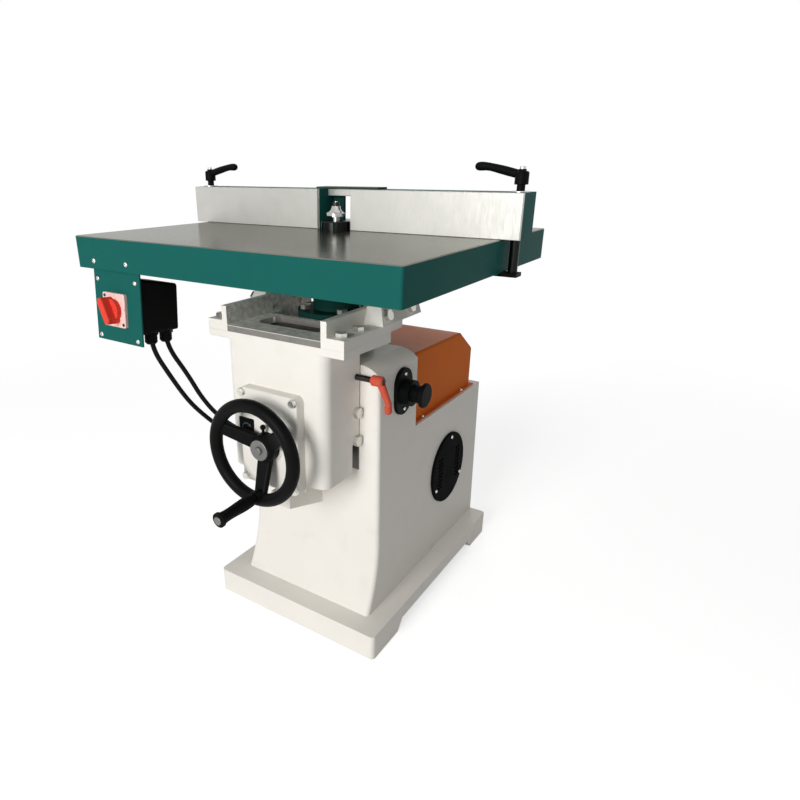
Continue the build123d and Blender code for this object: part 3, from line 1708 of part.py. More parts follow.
# Switch panel, switch and its box
with BuildPart() as switch_panel:
    drop_y = panel_drop * sin(radians(panel_lean))
    drop_z = panel_drop * cos(radians(panel_lean))
    with BuildSketch(side(panel_x)):
        Polygon(
            (panel_top_y, apron_bottom + panel_tab),
            (panel_top_y, apron_bottom),
            (panel_top_y - drop_y, apron_bottom - drop_z),
            (panel_top_y - drop_y + panel_sheet, apron_bottom - drop_z),
            (panel_top_y + panel_sheet, apron_bottom),
            (panel_top_y + panel_sheet, apron_bottom + panel_tab),
            align=None,
        )
    extrude(amount=panel_width / 2, both=True)
    with BuildSketch(panel_face):
        with Locations((switch_x, -switch_drop)):
            Circle(switch_stem_radius + slide_gap)
    extrude(amount=-2 * panel_sheet, mode=Mode.SUBTRACT)
save(switch_panel, "switch_panel")

with BuildPart() as switch_box:
    with BuildSketch(panel_rear):
        with Locations((box_x, -box_top - box_height / 2)):
            RectangleRounded(box_width, box_height, box_corner)
    with BuildSketch(panel_rear.offset(-box_depth)):
        with Locations((box_x, -box_top - (box_height + box_draft_top) / 2)):
            RectangleRounded(box_width - 2 * box_draft_side, box_height - box_draft_top, box_corner)
    loft()
    with BuildSketch(panel_rear):
        with Locations((switch_x, -switch_drop)):
            Circle(switch_stem_radius + run_fit)
    extrude(amount=-switch_stem - stem_room, mode=Mode.SUBTRACT)
    for mouth in (gland_front, gland_rear):
        disc(mouth, cable_radius + run_fit, -gland_bore, Mode.SUBTRACT)
save(switch_box, "switch_box")

with BuildPart() as switch_glands:
    for mouth in (gland_front, gland_rear):
        with BuildSketch(mouth):
            RegularPolygon(gland_nut_radius, 6)
        extrude(amount=gland_nut)
        disc(mouth, gland_radius, gland_length - gland_round)
        with BuildSketch(mouth.offset(gland_length - gland_round)):
            Circle(gland_radius)
        extrude(amount=gland_round, taper=gland_taper)
        disc(mouth, cable_radius + run_fit, gland_length, Mode.SUBTRACT)
save(switch_glands, "switch_glands")

with BuildPart() as switch_plate:
    with BuildSketch(panel_face):
        with Locations((switch_x, -switch_drop)):
            RectangleRounded(switch_plate_size, switch_plate_size, switch_plate_corner)
            Circle(switch_stem_radius + slide_gap, mode=Mode.SUBTRACT)
    extrude(amount=switch_plate_thickness)
save(switch_plate, "switch_plate")

with BuildPart() as switch_knob:
    knob_face = Plane(
        origin=panel_face.from_local_coords(Vector(switch_x, -switch_drop, switch_plate_thickness)),
        x_dir=(1, 0, 0),
        z_dir=panel_face.z_dir,
    )
    disc(knob_face, switch_knob_radius, switch_disc)
    with BuildSketch(knob_face):
        SlotOverall(switch_bar_length, switch_bar_width, rotation=90 + switch_turn)
    extrude(amount=switch_disc + switch_bar)
    fillet(faces().sort_by(Axis.Y)[0].edges(), switch_edge)
    disc(knob_face, switch_stem_radius, -switch_plate_thickness - panel_sheet - switch_stem)
save(switch_knob, "switch_knob")


# Cables from the switch box to the column
def cable(run):
    with BuildLine() as path:
        FilletPolyline(*run, radius=bend_radii(run))
    along = (run[1] - run[0]).normalized()
    with BuildSketch(Plane(origin=run[0], z_dir=along)) as section:
        Circle(cable_radius)
    sweep(section.sketch, path=path.line)


print("bend radii", [round(r) for r in bend_radii(front_run) + bend_radii(rear_run)])

with BuildPart() as cable_front:
    cable(front_run)
save(cable_front, "cable_front")

with BuildPart() as cable_rear:
    cable(rear_run)
save(cable_rear, "cable_rear")
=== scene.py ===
"""Looks, cables, small fasteners and studio of the spindle moulder."""
from math import cos, pi, radians, sin

import bmesh
import bpy
from mathutils import Matrix, Vector


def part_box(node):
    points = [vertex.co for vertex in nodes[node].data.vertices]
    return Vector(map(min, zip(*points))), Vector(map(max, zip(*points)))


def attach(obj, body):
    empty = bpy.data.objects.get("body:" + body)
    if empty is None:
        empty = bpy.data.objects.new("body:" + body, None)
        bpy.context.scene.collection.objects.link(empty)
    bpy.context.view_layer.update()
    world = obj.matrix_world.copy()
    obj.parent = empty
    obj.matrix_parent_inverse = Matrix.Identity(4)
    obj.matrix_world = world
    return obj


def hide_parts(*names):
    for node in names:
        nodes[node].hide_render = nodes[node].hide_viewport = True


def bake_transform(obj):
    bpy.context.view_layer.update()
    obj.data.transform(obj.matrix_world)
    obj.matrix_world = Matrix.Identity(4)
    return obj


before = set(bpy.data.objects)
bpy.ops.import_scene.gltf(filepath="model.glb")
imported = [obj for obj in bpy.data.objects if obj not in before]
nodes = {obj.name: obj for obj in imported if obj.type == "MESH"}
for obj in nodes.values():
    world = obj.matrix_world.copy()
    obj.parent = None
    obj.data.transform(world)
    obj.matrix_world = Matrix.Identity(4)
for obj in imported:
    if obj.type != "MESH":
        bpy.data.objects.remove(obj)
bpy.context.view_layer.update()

MM = 0.001
scene = bpy.context.scene
scene.view_settings.view_transform = "Standard"

# Camera, fitted to the photo
CAMERA_PLACE = (0.7312, -1.0755, 0.9698)
CAMERA_YAW = 34.768
CAMERA_PITCH = 21.881
CAMERA_ROLL = 0.316
CAMERA_LENS = 27.745
CAMERA_SENSOR = 36.0
CAMERA_SHIFT = (0.0855, 0.0161)


def make_camera():
    data = bpy.data.cameras.new("camera")
    data.lens = CAMERA_LENS
    data.sensor_width = CAMERA_SENSOR
    data.shift_x, data.shift_y = CAMERA_SHIFT
    camera = bpy.data.objects.new("camera", data)
    turn = Matrix.Rotation(radians(CAMERA_YAW), 4, "Z")
    tilt = Matrix.Rotation(radians(90 - CAMERA_PITCH), 4, "X")
    roll = Matrix.Rotation(radians(-CAMERA_ROLL), 4, "Z")
    camera.matrix_world = Matrix.Translation(CAMERA_PLACE) @ turn @ tilt @ roll
    scene.collection.objects.link(camera)
    scene.camera = camera


make_camera()


def srgb(red, green, blue):
    """Linear colour of a screen colour given from 0 to 255."""
    shares = [value / 255 for value in (red, green, blue)]
    return tuple(s / 12.92 if s <= 0.04045 else ((s + 0.055) / 1.055) ** 2.4 for s in shares) + (1.0,)


def shade(colour, factor):
    """The colour made lighter or darker."""
    return tuple(min(1.0, value * factor) for value in colour[:3]) + (1.0,)


# Colours; a pair is the two ends of a mottled tone
WHITE = (1, 1, 1, 1)
CREAM = srgb(240, 236, 228)
TEAL = srgb(27, 93, 87)
# Teal darkened as painted shade, for the parts in the shadow under the table
SHADED_TEAL = srgb(22, 60, 54)
GREY_TEAL = srgb(62, 84, 75)
ORANGE = srgb(232, 120, 48)
MOTOR_GREY = srgb(120, 126, 130)
GREY_IRON = srgb(146, 144, 138)
DARK_IRON = srgb(92, 90, 86)
RUBBED_IRON = srgb(150, 146, 138)
LIP_IRON = srgb(196, 193, 186)
TABLE_IRON = (srgb(134, 134, 126), srgb(113, 113, 105))
TABLE_SHEEN = (0.62, 0.62, 0.60, 1)
MILLED_IRON = (srgb(118, 115, 110), srgb(146, 143, 137))
# Mottled chipped tone of the saddle's inside, lightened as painted light to make up for the shade under
# the table
CHIPPED_PAINT_AND_PAINTED_LIGHT = (srgb(204, 202, 193), srgb(245, 242, 233))
# Dark mottled tone painted as shade inside the knee's window, a deep recess
WINDOW_SHADE = (srgb(52, 51, 47), srgb(96, 94, 88))
BRIGHT = srgb(200, 199, 195)
DARK_STEEL = srgb(58, 57, 55)
ROD_STEEL = srgb(34, 36, 34)
SCREW_STEEL = srgb(150, 148, 142)
BLACK_OXIDE = srgb(36, 38, 37)
CAP_GREY = srgb(122, 122, 120)
BOLT_ZINC = srgb(206, 204, 198)
SCREW_ZINC = srgb(214, 212, 206)
BRONZE = srgb(176, 138, 78)
ALUMINIUM = srgb(200, 199, 194)
FENCE_ALUMINIUM = srgb(190, 189, 184)
BLACK = srgb(13, 15, 14)
LACQUER = srgb(17, 18, 17)
SIGN_BLACK = srgb(18, 19, 19)
SIGN_GREY = srgb(96, 98, 97)
CABLE_RUBBER = srgb(24, 26, 25)
BELT_RUBBER = srgb(30, 30, 30)
RED = srgb(226, 70, 56)
LEVER_RED = srgb(202, 88, 68)
PALE = srgb(236, 196, 189)
INK = srgb(70, 52, 52)


class Nodes:
    """Adds shader nodes to one tree."""

    def __init__(self, tree):
        self.tree = tree

    def feed(self, socket, value):
        """Links a socket to another one, or sets its value."""
        if isinstance(value, bpy.types.NodeSocket):
            self.tree.links.new(value, socket)
        else:
            socket.default_value = value

    def node(self, kind, inputs=(), **settings):
        made = self.tree.nodes.new("ShaderNode" + kind)
        for name, value in settings.items():
            setattr(made, name, value)
        for name, value in dict(inputs).items():
            self.feed(made.inputs[name], value)
        return made

    def maths(self, operation, first, second=0.0):
        return self.node("Math", {0: first, 1: second}, operation=operation).outputs[0]

    def spread(self, value, low, high, to_low=0.0, to_high=1.0):
        """The run of a value from low to high, stretched onto another run."""
        inputs = {"Value": value, "From Min": low, "From Max": high, "To Min": to_low, "To Max": to_high}
        return self.node("MapRange", inputs).outputs["Result"]

    def background_rays(self):
        """1 for rays that see the background: from the camera, mirrored or through glass."""
        path = self.node("LightPath").outputs
        seen = self.maths("MAXIMUM", path["Is Camera Ray"], path["Is Glossy Ray"])
        return self.maths("MAXIMUM", seen, path["Is Transmission Ray"])


class Look(Nodes):
    """One material: a Principled shader and the nodes that feed it."""

    def __init__(self, name, sockets=()):
        self.material = bpy.data.materials.new(name)
        self.material.use_nodes = True
        super().__init__(self.material.node_tree)
        self.shader = self.tree.nodes["Principled BSDF"]
        self.place = self.node("TexCoord").outputs["Object"]
        self.set(dict(sockets))

    def set(self, sockets):
        for name, value in sockets.items():
            self.feed(self.shader.inputs[name], value)

    def noise(self, scale, detail=3.0, stretch=(1, 1, 1)):
        """Noise from 0 to 1, with cells about 1 / scale metres wide."""
        place = self.node("Mapping", {"Vector": self.place, "Scale": stretch}).outputs["Vector"]
        return self.node("TexNoise", {"Vector": place, "Scale": scale, "Detail": detail}).outputs["Fac"]

    def varied(self, noise, low, high):
        """Number that wanders between two limits with a noise."""
        return self.spread(noise, 0.3, 0.7, low, high)

    def mix(self, share, first, second):
        """Colour between two colours."""
        return self.node("Mix", {0: share, 6: first, 7: second}, data_type="RGBA").outputs[2]

    def between(self, share, first, second):
        """Number between two numbers."""
        return self.node("Mix", {0: share, 2: first, 3: second}, data_type="FLOAT").outputs[0]

    def axis(self, name):
        return self.node("SeparateXYZ", {0: self.place}).outputs[name]

    def facing(self, name):
        """Part of the surface normal along one axis."""
        normal = self.node("NewGeometry").outputs["True Normal"]
        return self.node("SeparateXYZ", {0: normal}).outputs[name]

    def inside(self, value, low, high):
        """1 where the value lies between two limits."""
        above = self.maths("GREATER_THAN", value, low)
        below = self.maths("LESS_THAN", value, high)
        return self.maths("MULTIPLY", above, below)

    def all_of(self, first, *others):
        for other in others:
            first = self.maths("MULTIPLY", first, other)
        return first

    def rounded(self, radius):
        """Normal that runs softly round every sharp edge."""
        return self.node("Bevel", {"Radius": radius}, samples=4).outputs["Normal"]

    def edges(self, radius):
        """1 on a sharp edge, falling to 0 a radius away from it."""
        sharp = self.node("NewGeometry").outputs["Normal"]
        soft = self.rounded(radius)
        match = self.node("VectorMath", {0: sharp, 1: soft}, operation="DOT_PRODUCT").outputs["Value"]
        return self.spread(match, 0.97, 0.75)

    def relief(self, height, edge):
        """Normal of a skin with small heights in metres and softened edges."""
        inputs = {"Height": height, "Distance": 1.0, "Strength": 1.0, "Normal": self.rounded(edge)}
        return self.node("Bump", inputs).outputs["Normal"]

    def wear(self, *names):
        """Puts this material on CAD nodes."""
        for name in names:
            for place in nodes[name].material_slots:
                place.material = self.material


# Noise scales of the looks, their strengths, and the widths of their softened edges
PAINT_CLOUDS = 7.0
PAINT_SMUDGES = 23.0
PAINT_CHIPS = 140.0
PAINT_PEEL = 420.0
CASTING_WAVES = 75.0
METAL_CLOUDS = 26.0
PLASTIC_CLOUDS = 30.0
PLASTIC_DUST = 120.0
MOTTLE = 0.05
DIRT = 0.10
DIRT_SHADE = 0.62
DUST = 0.25
DUST_SHADE = 2.2
PAINT_EDGE = 1.2 * MM
METAL_EDGE = 0.6 * MM
PLASTIC_EDGE = 0.9 * MM
RUBBED_WIDTH = 1.6 * MM
DUSTY_WIDTH = 1.2 * MM


def paint(name, colour, gloss=0.45, rub=0.3, peel=0.06 * MM, cast=0.0, shine=0.16):
    """Sprayed paint: faint clouds, smudges, rubbed edges, orange peel and the waves of a casting."""
    look = Look(name, {"Specular IOR Level": shine})
    clouds = look.noise(PAINT_CLOUDS, 4.0)
    tone = look.mix(clouds, shade(colour, 1 - MOTTLE), shade(colour, 1 + MOTTLE))
    smudge = look.spread(look.noise(PAINT_SMUDGES, 6.0), 0.56, 0.78)
    tone = look.mix(look.maths("MULTIPLY", smudge, DIRT), tone, shade(colour, DIRT_SHADE))
    chips = look.spread(look.noise(PAINT_CHIPS, 4.0), 0.45, 0.62)
    worn = look.maths("MULTIPLY", look.edges(RUBBED_WIDTH), chips)
    tone = look.mix(look.maths("MULTIPLY", worn, rub), tone, RUBBED_IRON)
    height = look.maths("MULTIPLY", look.noise(PAINT_PEEL, 2.0), peel)
    if cast:
        waves = look.maths("MULTIPLY", look.noise(CASTING_WAVES), cast)
        height = look.maths("ADD", height, waves)
    look.set({
        "Base Color": tone,
        "Roughness": look.varied(clouds, gloss - 0.05, gloss + 0.07),
        "Normal": look.relief(height, PAINT_EDGE),
    })
    return look, tone


def metal(name, colour, rough=0.3, stretch=(1, 1, 1), lines=300.0, depth=0.01 * MM, tarnish=0.14):
    """Bare metal with fine machining lines and a little tarnish."""
    look = Look(name, {"Metallic": 1.0})
    fine = look.noise(lines, stretch=stretch)
    clouds = look.spread(look.noise(METAL_CLOUDS, 5.0), 0.35, 0.7)
    tone = look.mix(clouds, shade(colour, 1 + tarnish / 2), shade(colour, 1 - tarnish))
    look.set({
        "Base Color": tone,
        "Roughness": look.varied(fine, rough - 0.06, rough + 0.08),
        "Normal": look.relief(look.maths("MULTIPLY", fine, depth), METAL_EDGE),
    })
    return look, tone


def plastic(name, colour, rough=0.42, grain=900.0, depth=0.03 * MM, shine=0.04):
    """Moulded plastic, rubber or lacquer with a fine grain and dust on its edges."""
    look = Look(name, {"Specular IOR Level": shine})
    clouds = look.noise(PLASTIC_CLOUDS, 4.0)
    tone = look.mix(clouds, shade(colour, 0.85), shade(colour, 1.2))
    patches = look.spread(look.noise(PLASTIC_DUST), 0.4, 0.7)
    dust = look.maths("MULTIPLY", look.edges(DUSTY_WIDTH), patches)
    tone = look.mix(look.maths("MULTIPLY", dust, DUST), tone, shade(colour, DUST_SHADE))
    height = look.maths("MULTIPLY", look.noise(grain, 2.0), depth)
    look.set({
        "Base Color": tone,
        "Roughness": look.varied(clouds, rough - 0.06, rough + 0.08),
        "Normal": look.relief(height, PLASTIC_EDGE),
    })
    return look


# Places on the machine that the looks and the small pieces share
AXIS_X = 9.0 * MM
AXIS_Y = -16.0 * MM
WAY_HALF = 120.5 * MM
WAY_FRONT = -109.5 * MM
WAY_BELOW_KNEE = 2.0 * MM
SADDLE_INNER = 111.2 * MM
SADDLE_FLOOR = 13.0 * MM
SADDLE_LIP = 1.8 * MM
WINDOW_HALF = 80.5 * MM
WINDOW_RUN = (-181.5 * MM, -111.5 * MM)
TABLE_SKIN = 1.6 * MM
TABLE_ROUGH = (0.15, 0.25)
SATIN = {"gloss": 0.4, "shine": 0.02}
table_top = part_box("table_casting")[1].z
fence_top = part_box("fence_left")[1].z
knee_low, knee_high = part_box("knee_casting")
saddle_floor = knee_high.z + SADDLE_FLOOR


def cream_looks():
    plain, _ = paint("cream_paint", CREAM, cast=0.10 * MM)
    plain.wear("bearing_plate", "knee_gib", "bracket_left", "bracket_right")
    knee, tone = paint("cream_paint_knee", CREAM, cast=0.10 * MM)
    # Painted shade: the inside of the window recess gets a dark mottled tone
    window = knee.all_of(
        knee.inside(knee.axis("X"), AXIS_X - WINDOW_HALF, AXIS_X + WINDOW_HALF),
        knee.inside(knee.axis("Y"), *WINDOW_RUN),
    )
    window_shade = knee.mix(knee.noise(60.0, 6.0), *WINDOW_SHADE)
    knee.set({"Base Color": knee.mix(window, tone, window_shade)})
    knee.wear("knee_casting")
    column, tone = paint("cream_paint_column", CREAM, cast=0.06 * MM)
    column_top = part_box("base_casting")[1].z
    way = column.all_of(
        column.maths("LESS_THAN", column.axis("Y"), WAY_FRONT),
        column.inside(column.axis("Z"), knee_low.z - WAY_BELOW_KNEE, column_top + MM),
        column.inside(column.axis("X"), AXIS_X - WAY_HALF, AXIS_X + WAY_HALF),
    )
    column.set({"Base Color": column.mix(way, tone, DARK_IRON), "Metallic": way})
    column.wear("base_casting")
    saddle_look()


def saddle_look():
    """Cream outside; inside, a mottled chipped tone lightened as painted light against the shade under the
    table, milled iron and a bright front lip between the brackets.
    """
    saddle, tone = paint("cream_paint_saddle", CREAM, cast=0.14 * MM)
    bare = saddle.inside(saddle.axis("X"), AXIS_X - SADDLE_INNER, AXIS_X + SADDLE_INNER)
    # The walls and floor inside get a mottled chipped tone, lightened as painted light for the shade under
    # the table
    chips = saddle.noise(90.0, 8.0)
    rough = saddle.mix(saddle.spread(chips, 0.36, 0.64), *CHIPPED_PAINT_AND_PAINTED_LIGHT)
    milled = saddle.mix(chips, *MILLED_IRON)
    iron = saddle.mix(saddle.maths("LESS_THAN", saddle.facing("Y"), -0.5), rough, milled)
    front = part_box("saddle_casting")[0].y
    lip = saddle.all_of(
        saddle.inside(saddle.axis("Z"), saddle_floor - SADDLE_LIP, saddle_floor + MM),
        saddle.maths("LESS_THAN", saddle.axis("Y"), front + SADDLE_LIP),
    )
    iron = saddle.mix(lip, iron, LIP_IRON)
    saddle.set({
        "Base Color": saddle.mix(bare, tone, iron),
        "Metallic": saddle.maths("MULTIPLY", bare, 0.1),
    })
    saddle.wear("saddle_casting")


def teal_looks():
    plain, _ = paint("teal_paint", TEAL, rub=0.15, **SATIN)
    plain.wear("switch_panel", "fence_left", "fence_right")
    # Painted shade: the spindle housing and the chip guard get a darker copy of the teal, for the shadow
    # under the table
    dark, _ = paint("teal_paint_with_painted_shade", SHADED_TEAL, rub=0.15, **SATIN)
    dark.wear("spindle_housing", "chip_guard")
    table, tone = paint("table_teal_and_iron", TEAL, rub=0.05, **SATIN)
    ground = table.all_of(
        table.maths("GREATER_THAN", table.axis("Z"), table_top - TABLE_SKIN),
        table.maths("GREATER_THAN", table.facing("Z"), 0.5),
    )
    lines = table.noise(60.0, 4.0, (1, 26, 1))
    stain = table.spread(table.noise(5.0, 5.0), 0.4, 0.7)
    iron = table.mix(stain, *TABLE_IRON)
    table.set({
        "Base Color": table.mix(ground, tone, iron),
        "Metallic": ground,
        "Specular Tint": table.mix(ground, WHITE, TABLE_SHEEN),
        "Roughness": table.between(ground, SATIN["gloss"], table.varied(lines, *TABLE_ROUGH)),
    })
    table.wear("table_casting")


def other_looks():
    orange, _ = paint("orange_paint", ORANGE, gloss=0.46, rub=0.2, peel=0.09 * MM, shine=0.02)
    orange.wear("belt_cover")
    motor, _ = paint("motor_paint", MOTOR_GREY, cast=0.1 * MM)
    motor.wear("motor")
    metal("ground_iron", GREY_IRON, 0.36)[0].wear("motor_plate", "spindle_pulley", "motor_pulley")
    metal("turned_steel", BRIGHT, 0.26, lines=500.0)[0].wear(
        "lift_screw", "spindle_bearings", "spindle_shaft", "router_bit", "motor_shaft", "wheel_shaft",
        "shaft_gear", "nut_gear",
    )
    metal("dark_steel", DARK_STEEL, 0.36)[0].wear("bit_bearing", "knee_lever_stud")
    metal("black_oxide", BLACK_OXIDE, 0.32)[0].wear("collet_nut")
    metal("grey_cap", CAP_GREY, 0.42, lines=240.0)[0].wear("wheel_cap", "grip_stud")
    metal("zinc_bolts", BOLT_ZINC, 0.34)[0].wear(
        "base_bolts", "gib_screws", "plate_bolts", "saddle_bolts", "bracket_bolts"
    )
    metal("bronze", BRONZE, 0.32)[0].wear("nut_bush", "lift_nut")
    upright = (12, 12, 1)
    metal("milled_aluminium", FENCE_ALUMINIUM, 0.52, upright, 60.0, 0.02 * MM, 0.04)[0].wear(
        "fence_plate_left", "fence_plate_right"
    )
    plastic("black_plastic", BLACK, 0.5).wear(
        "lock_flange", "lock_knob", "column_glands", "switch_box", "switch_glands", "handle_grip"
    )
    plastic("vent_plastic", BLACK, 0.7, shine=0.015).wear("vent_cover")
    plastic("black_lacquer", LACQUER, 0.4, 260.0, 0.06 * MM).wear("handwheel", "clamp_claws")
    plastic("red_plastic", RED, 0.34).wear("switch_knob")
    plastic("lever_red", LEVER_RED, 0.4).wear("knee_lever")
    plastic("pale_plastic", PALE, 0.45).wear("switch_plate")
    plastic("belt_rubber", BELT_RUBBER, 0.7, 300.0, 0.1 * MM).wear("drive_belt")


cream_looks()
teal_looks()
other_looks()

# Meshes: corners sharper than this angle, in degrees, stay sharp
SHARP_CORNER = 35
WELD = 1e-7


def finish_mesh(name, shape, sharp=SHARP_CORNER):
    """Mesh from a bmesh, smooth except at edges sharper than the angle."""
    bmesh.ops.recalc_face_normals(shape, faces=shape.faces)
    for face in shape.faces:
        face.smooth = True
    for edge in shape.edges:
        edge.smooth = len(edge.link_faces) == 2 and edge.calc_face_angle() < radians(sharp)
    mesh = bpy.data.meshes.new(name)
    shape.to_mesh(mesh)
    shape.free()
    return mesh


def new_piece(name, shape, look, body, sharp=SHARP_CORNER):
    """Piece from a bmesh, riding on a body if one is given."""
    piece = bpy.data.objects.new(name, finish_mesh(name, shape, sharp))
    scene.collection.objects.link(piece)
    piece.data.materials.append(look.material)
    if body:
        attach(piece, body)
    return piece


def around(sides):
    """Angles of the points of a ring."""
    return [2 * pi * step / sides for step in range(sides)]


def skin(shape, rings):
    """Faces between rings of points; a ring of one point closes an end."""
    for lower, upper in zip(rings, rings[1:]):
        count = max(len(lower), len(upper))
        for step in range(count):
            after = (step + 1) % count
            corners = [lower[step % len(lower)], lower[after % len(lower)]]
            corners += [upper[after % len(upper)], upper[step % len(upper)]]
            shape.faces.new(dict.fromkeys(corners))


def seat(place, normal):
    """Matrix whose z axis stands on a surface."""
    return Matrix.Translation(place) @ Vector(normal).to_track_quat("Z", "Y").to_matrix().to_4x4()


def turned(shape, profile, place, sides=24, hexagonal=()):
    """Turned form from (radius, height) pairs in millimetres; some rings may be hexagonal."""
    rings = []
    for index, (radius, height) in enumerate(profile):
        if radius == 0:
            rings.append([shape.verts.new(place @ Vector((0, 0, height * MM)))])
            continue
        ring = []
        for angle in around(sides):
            reach = radius * MM
            if index in hexagonal:
                reach *= cos(pi / 6) / cos(angle % (pi / 3) - pi / 6)
            spot = Vector((reach * cos(angle), reach * sin(angle), height * MM))
            ring.append(shape.verts.new(place @ spot))
        rings.append(ring)
    skin(shape, rings)


def flat_ring(shape, place, outer, inner, depth, sides=32):
    """Thin upright ring, an ellipse of (half width, half height) outside and inside."""
    rings = []
    for (width, height), out in ((outer, 0.0), (outer, depth), (inner, depth), (inner, 0.0), (outer, 0.0)):
        points = [place(width * cos(angle), height * sin(angle), out) for angle in around(sides)]
        rings.append([shape.verts.new(point) for point in points])
    skin(shape, rings)
    bmesh.ops.remove_doubles(shape, verts=shape.verts, dist=WELD)


def flat_bar(shape, corners, place, depth):
    """Thin plate with the given outline, on a surface."""
    low = [shape.verts.new(place(x, y, 0.0)) for x, y in corners]
    high = [shape.verts.new(place(x, y, depth)) for x, y in corners]
    skin(shape, [low, high])
    shape.faces.new(reversed(low))
    shape.faces.new(high)


# Cables: the points that control their routes, from the switch box to the column
CABLE_RADIUS = 4.75 * MM
CABLE_SIDES = 20
ROUTE_STEPS = 10
FRONT_RUN = [
    (-0.2105, -0.32472, 0.67338), (-0.2105, -0.32694, 0.64509), (-0.201, -0.299, 0.584),
    (-0.189, -0.268, 0.522), (-0.179, -0.236, 0.480), (-0.167, -0.200, 0.440),
    (-0.153, -0.164, 0.411), (-0.143, -0.128, 0.396),
]
REAR_RUN = [
    (-0.2105, -0.28883, 0.67055), (-0.2105, -0.29105, 0.64226), (-0.193, -0.259, 0.576),
    (-0.179, -0.240, 0.523), (-0.164, -0.216, 0.480), (-0.144, -0.188, 0.446),
    (-0.133, -0.158, 0.426), (-0.128, -0.124, 0.418),
]
cable_look = plastic("cable_rubber", CABLE_RUBBER, 0.55, 500.0, 0.04 * MM)


def smooth_line(run):
    """Points along the smooth curve that a route's points control."""
    curve = bpy.data.curves.new("route", "CURVE")
    curve.dimensions = "3D"
    curve.resolution_u = ROUTE_STEPS
    spline = curve.splines.new("NURBS")
    spline.points.add(len(run) - 1)
    for point, place in zip(spline.points, run):
        point.co = (*place, 1.0)
    spline.order_u = 3
    spline.use_endpoint_u = True
    holder = bpy.data.objects.new("route", curve)
    scene.collection.objects.link(holder)
    bpy.context.view_layer.update()
    line = bpy.data.meshes.new_from_object(holder)
    points = [vertex.co.copy() for vertex in line.vertices]
    bpy.data.objects.remove(holder)
    bpy.data.meshes.remove(line)
    bpy.data.curves.remove(curve)
    return points


def tube(points, radius, sides):
    """Closed round tube along a line of points."""
    shape = bmesh.new()
    rings = []
    out = (points[1] - points[0]).orthogonal().normalized()
    for index, point in enumerate(points):
        before = points[max(index - 1, 0)]
        after = points[min(index + 1, len(points) - 1)]
        along = (after - before).normalized()
        out = (out - along * out.dot(along)).normalized()
        across = along.cross(out)
        spots = [point + radius * (out * cos(a) + across * sin(a)) for a in around(sides)]
        rings.append([shape.verts.new(spot) for spot in spots])
    skin(shape, rings)
    shape.faces.new(reversed(rings[0]))
    shape.faces.new(rings[-1])
    return shape


def cable(name, run):
    points = smooth_line(run)
    shape = tube(points, CABLE_RADIUS, CABLE_SIDES)
    piece = new_piece(name + "_sheath", shape, cable_look, None)
    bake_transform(piece)
    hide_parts(name)


cable("cable_front", FRONT_RUN)
cable("cable_rear", REAR_RUN)

# Screws: domed heads with a hexagonal socket, sizes in millimetres
SCREW_SINK = 0.2
SOCKET_SHARE = 0.48
SOCKET_RINGS = (6, 7)
zinc_look = metal("zinc_screws", SCREW_ZINC, 0.3, lines=700.0)[0]
dark_screw_look = metal("dark_screws", DARK_STEEL, 0.4, lines=700.0)[0]


def screw_profile(radius, height):
    socket = SOCKET_SHARE * radius
    return [
        (0, -SCREW_SINK), (radius, -SCREW_SINK), (radius, 0.35 * height), (0.94 * radius, 0.62 * height),
        (0.8 * radius, 0.86 * height), (socket + 0.12 * radius, height), (socket, height),
        (socket, 0.4 * height), (0, 0.4 * height),
    ]


def screws(name, body, spots, radius, height, look=zinc_look):
    """One piece of screws, each on its (place, normal)."""
    shape = bmesh.new()
    for place, normal in spots:
        turned(shape, screw_profile(radius, height), seat(place, normal), hexagonal=SOCKET_RINGS)
    new_piece(name, shape, look, body)


# Screws of the switch panel: on the apron, round the panel and on the switch plate
PANEL_LEAN = radians(4.5)
PANEL_ORIGIN = Vector((-253.5, -353.5, 792.0)) * MM
PANEL_UP = Vector((0, sin(PANEL_LEAN), cos(PANEL_LEAN)))
PANEL_OUT = Vector((0, -cos(PANEL_LEAN), sin(PANEL_LEAN)))
PANEL_SCREW_X = (-53.5, 53.5)
PANEL_SCREW_Y = (-19, -126)
APRON_SCREW_X = (-299 * MM, -208 * MM)
APRON_SCREW_Z = 807 * MM
SWITCH_X = -4.0
SWITCH_DROP = 73.0
PLATE_FACE = 6.0
PLATE_CORNERS = ((-25.5, 25.5), (25.5, -25.5))


def on_panel(x, y, out=0.0):
    """Point of the panel's face, in millimetres across, up and outwards."""
    return PANEL_ORIGIN + Vector((x * MM, 0, 0)) + PANEL_UP * y * MM + PANEL_OUT * out * MM


def on_switch(x, y, out=0.0):
    """Point of the switch plate's face, in millimetres from its middle."""
    return on_panel(SWITCH_X + x, y - SWITCH_DROP, PLATE_FACE + out)


def panel_screws():
    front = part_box("table_casting")[0].y
    spots = [(Vector((x, front, APRON_SCREW_Z)), (0, -1, 0)) for x in APRON_SCREW_X]
    screws("apron_screws", "knee", spots, radius=4.6, height=3.0)
    spots = [(on_panel(x, y), PANEL_OUT) for x in PANEL_SCREW_X for y in PANEL_SCREW_Y]
    screws("panel_screws", "knee", spots, radius=4.4, height=2.8)
    spots = [(on_switch(x, y), PANEL_OUT) for x, y in PLATE_CORNERS]
    screws("switch_plate_screws", "knee", spots, radius=3.0, height=1.6, look=dark_screw_look)


panel_screws()

# Plain 0 and 1 at the two positions of the switch, as half widths and half heights
MARK_DEPTH = 0.2
ZERO_PLACE = (29.3, 3.0)
ZERO_OUTER = (1.1, 1.6)
ZERO_INNER = (0.65, 1.15)
ONE_PLACE = (3.0, 29.3)
ONE_HALF = (0.25, 1.6)


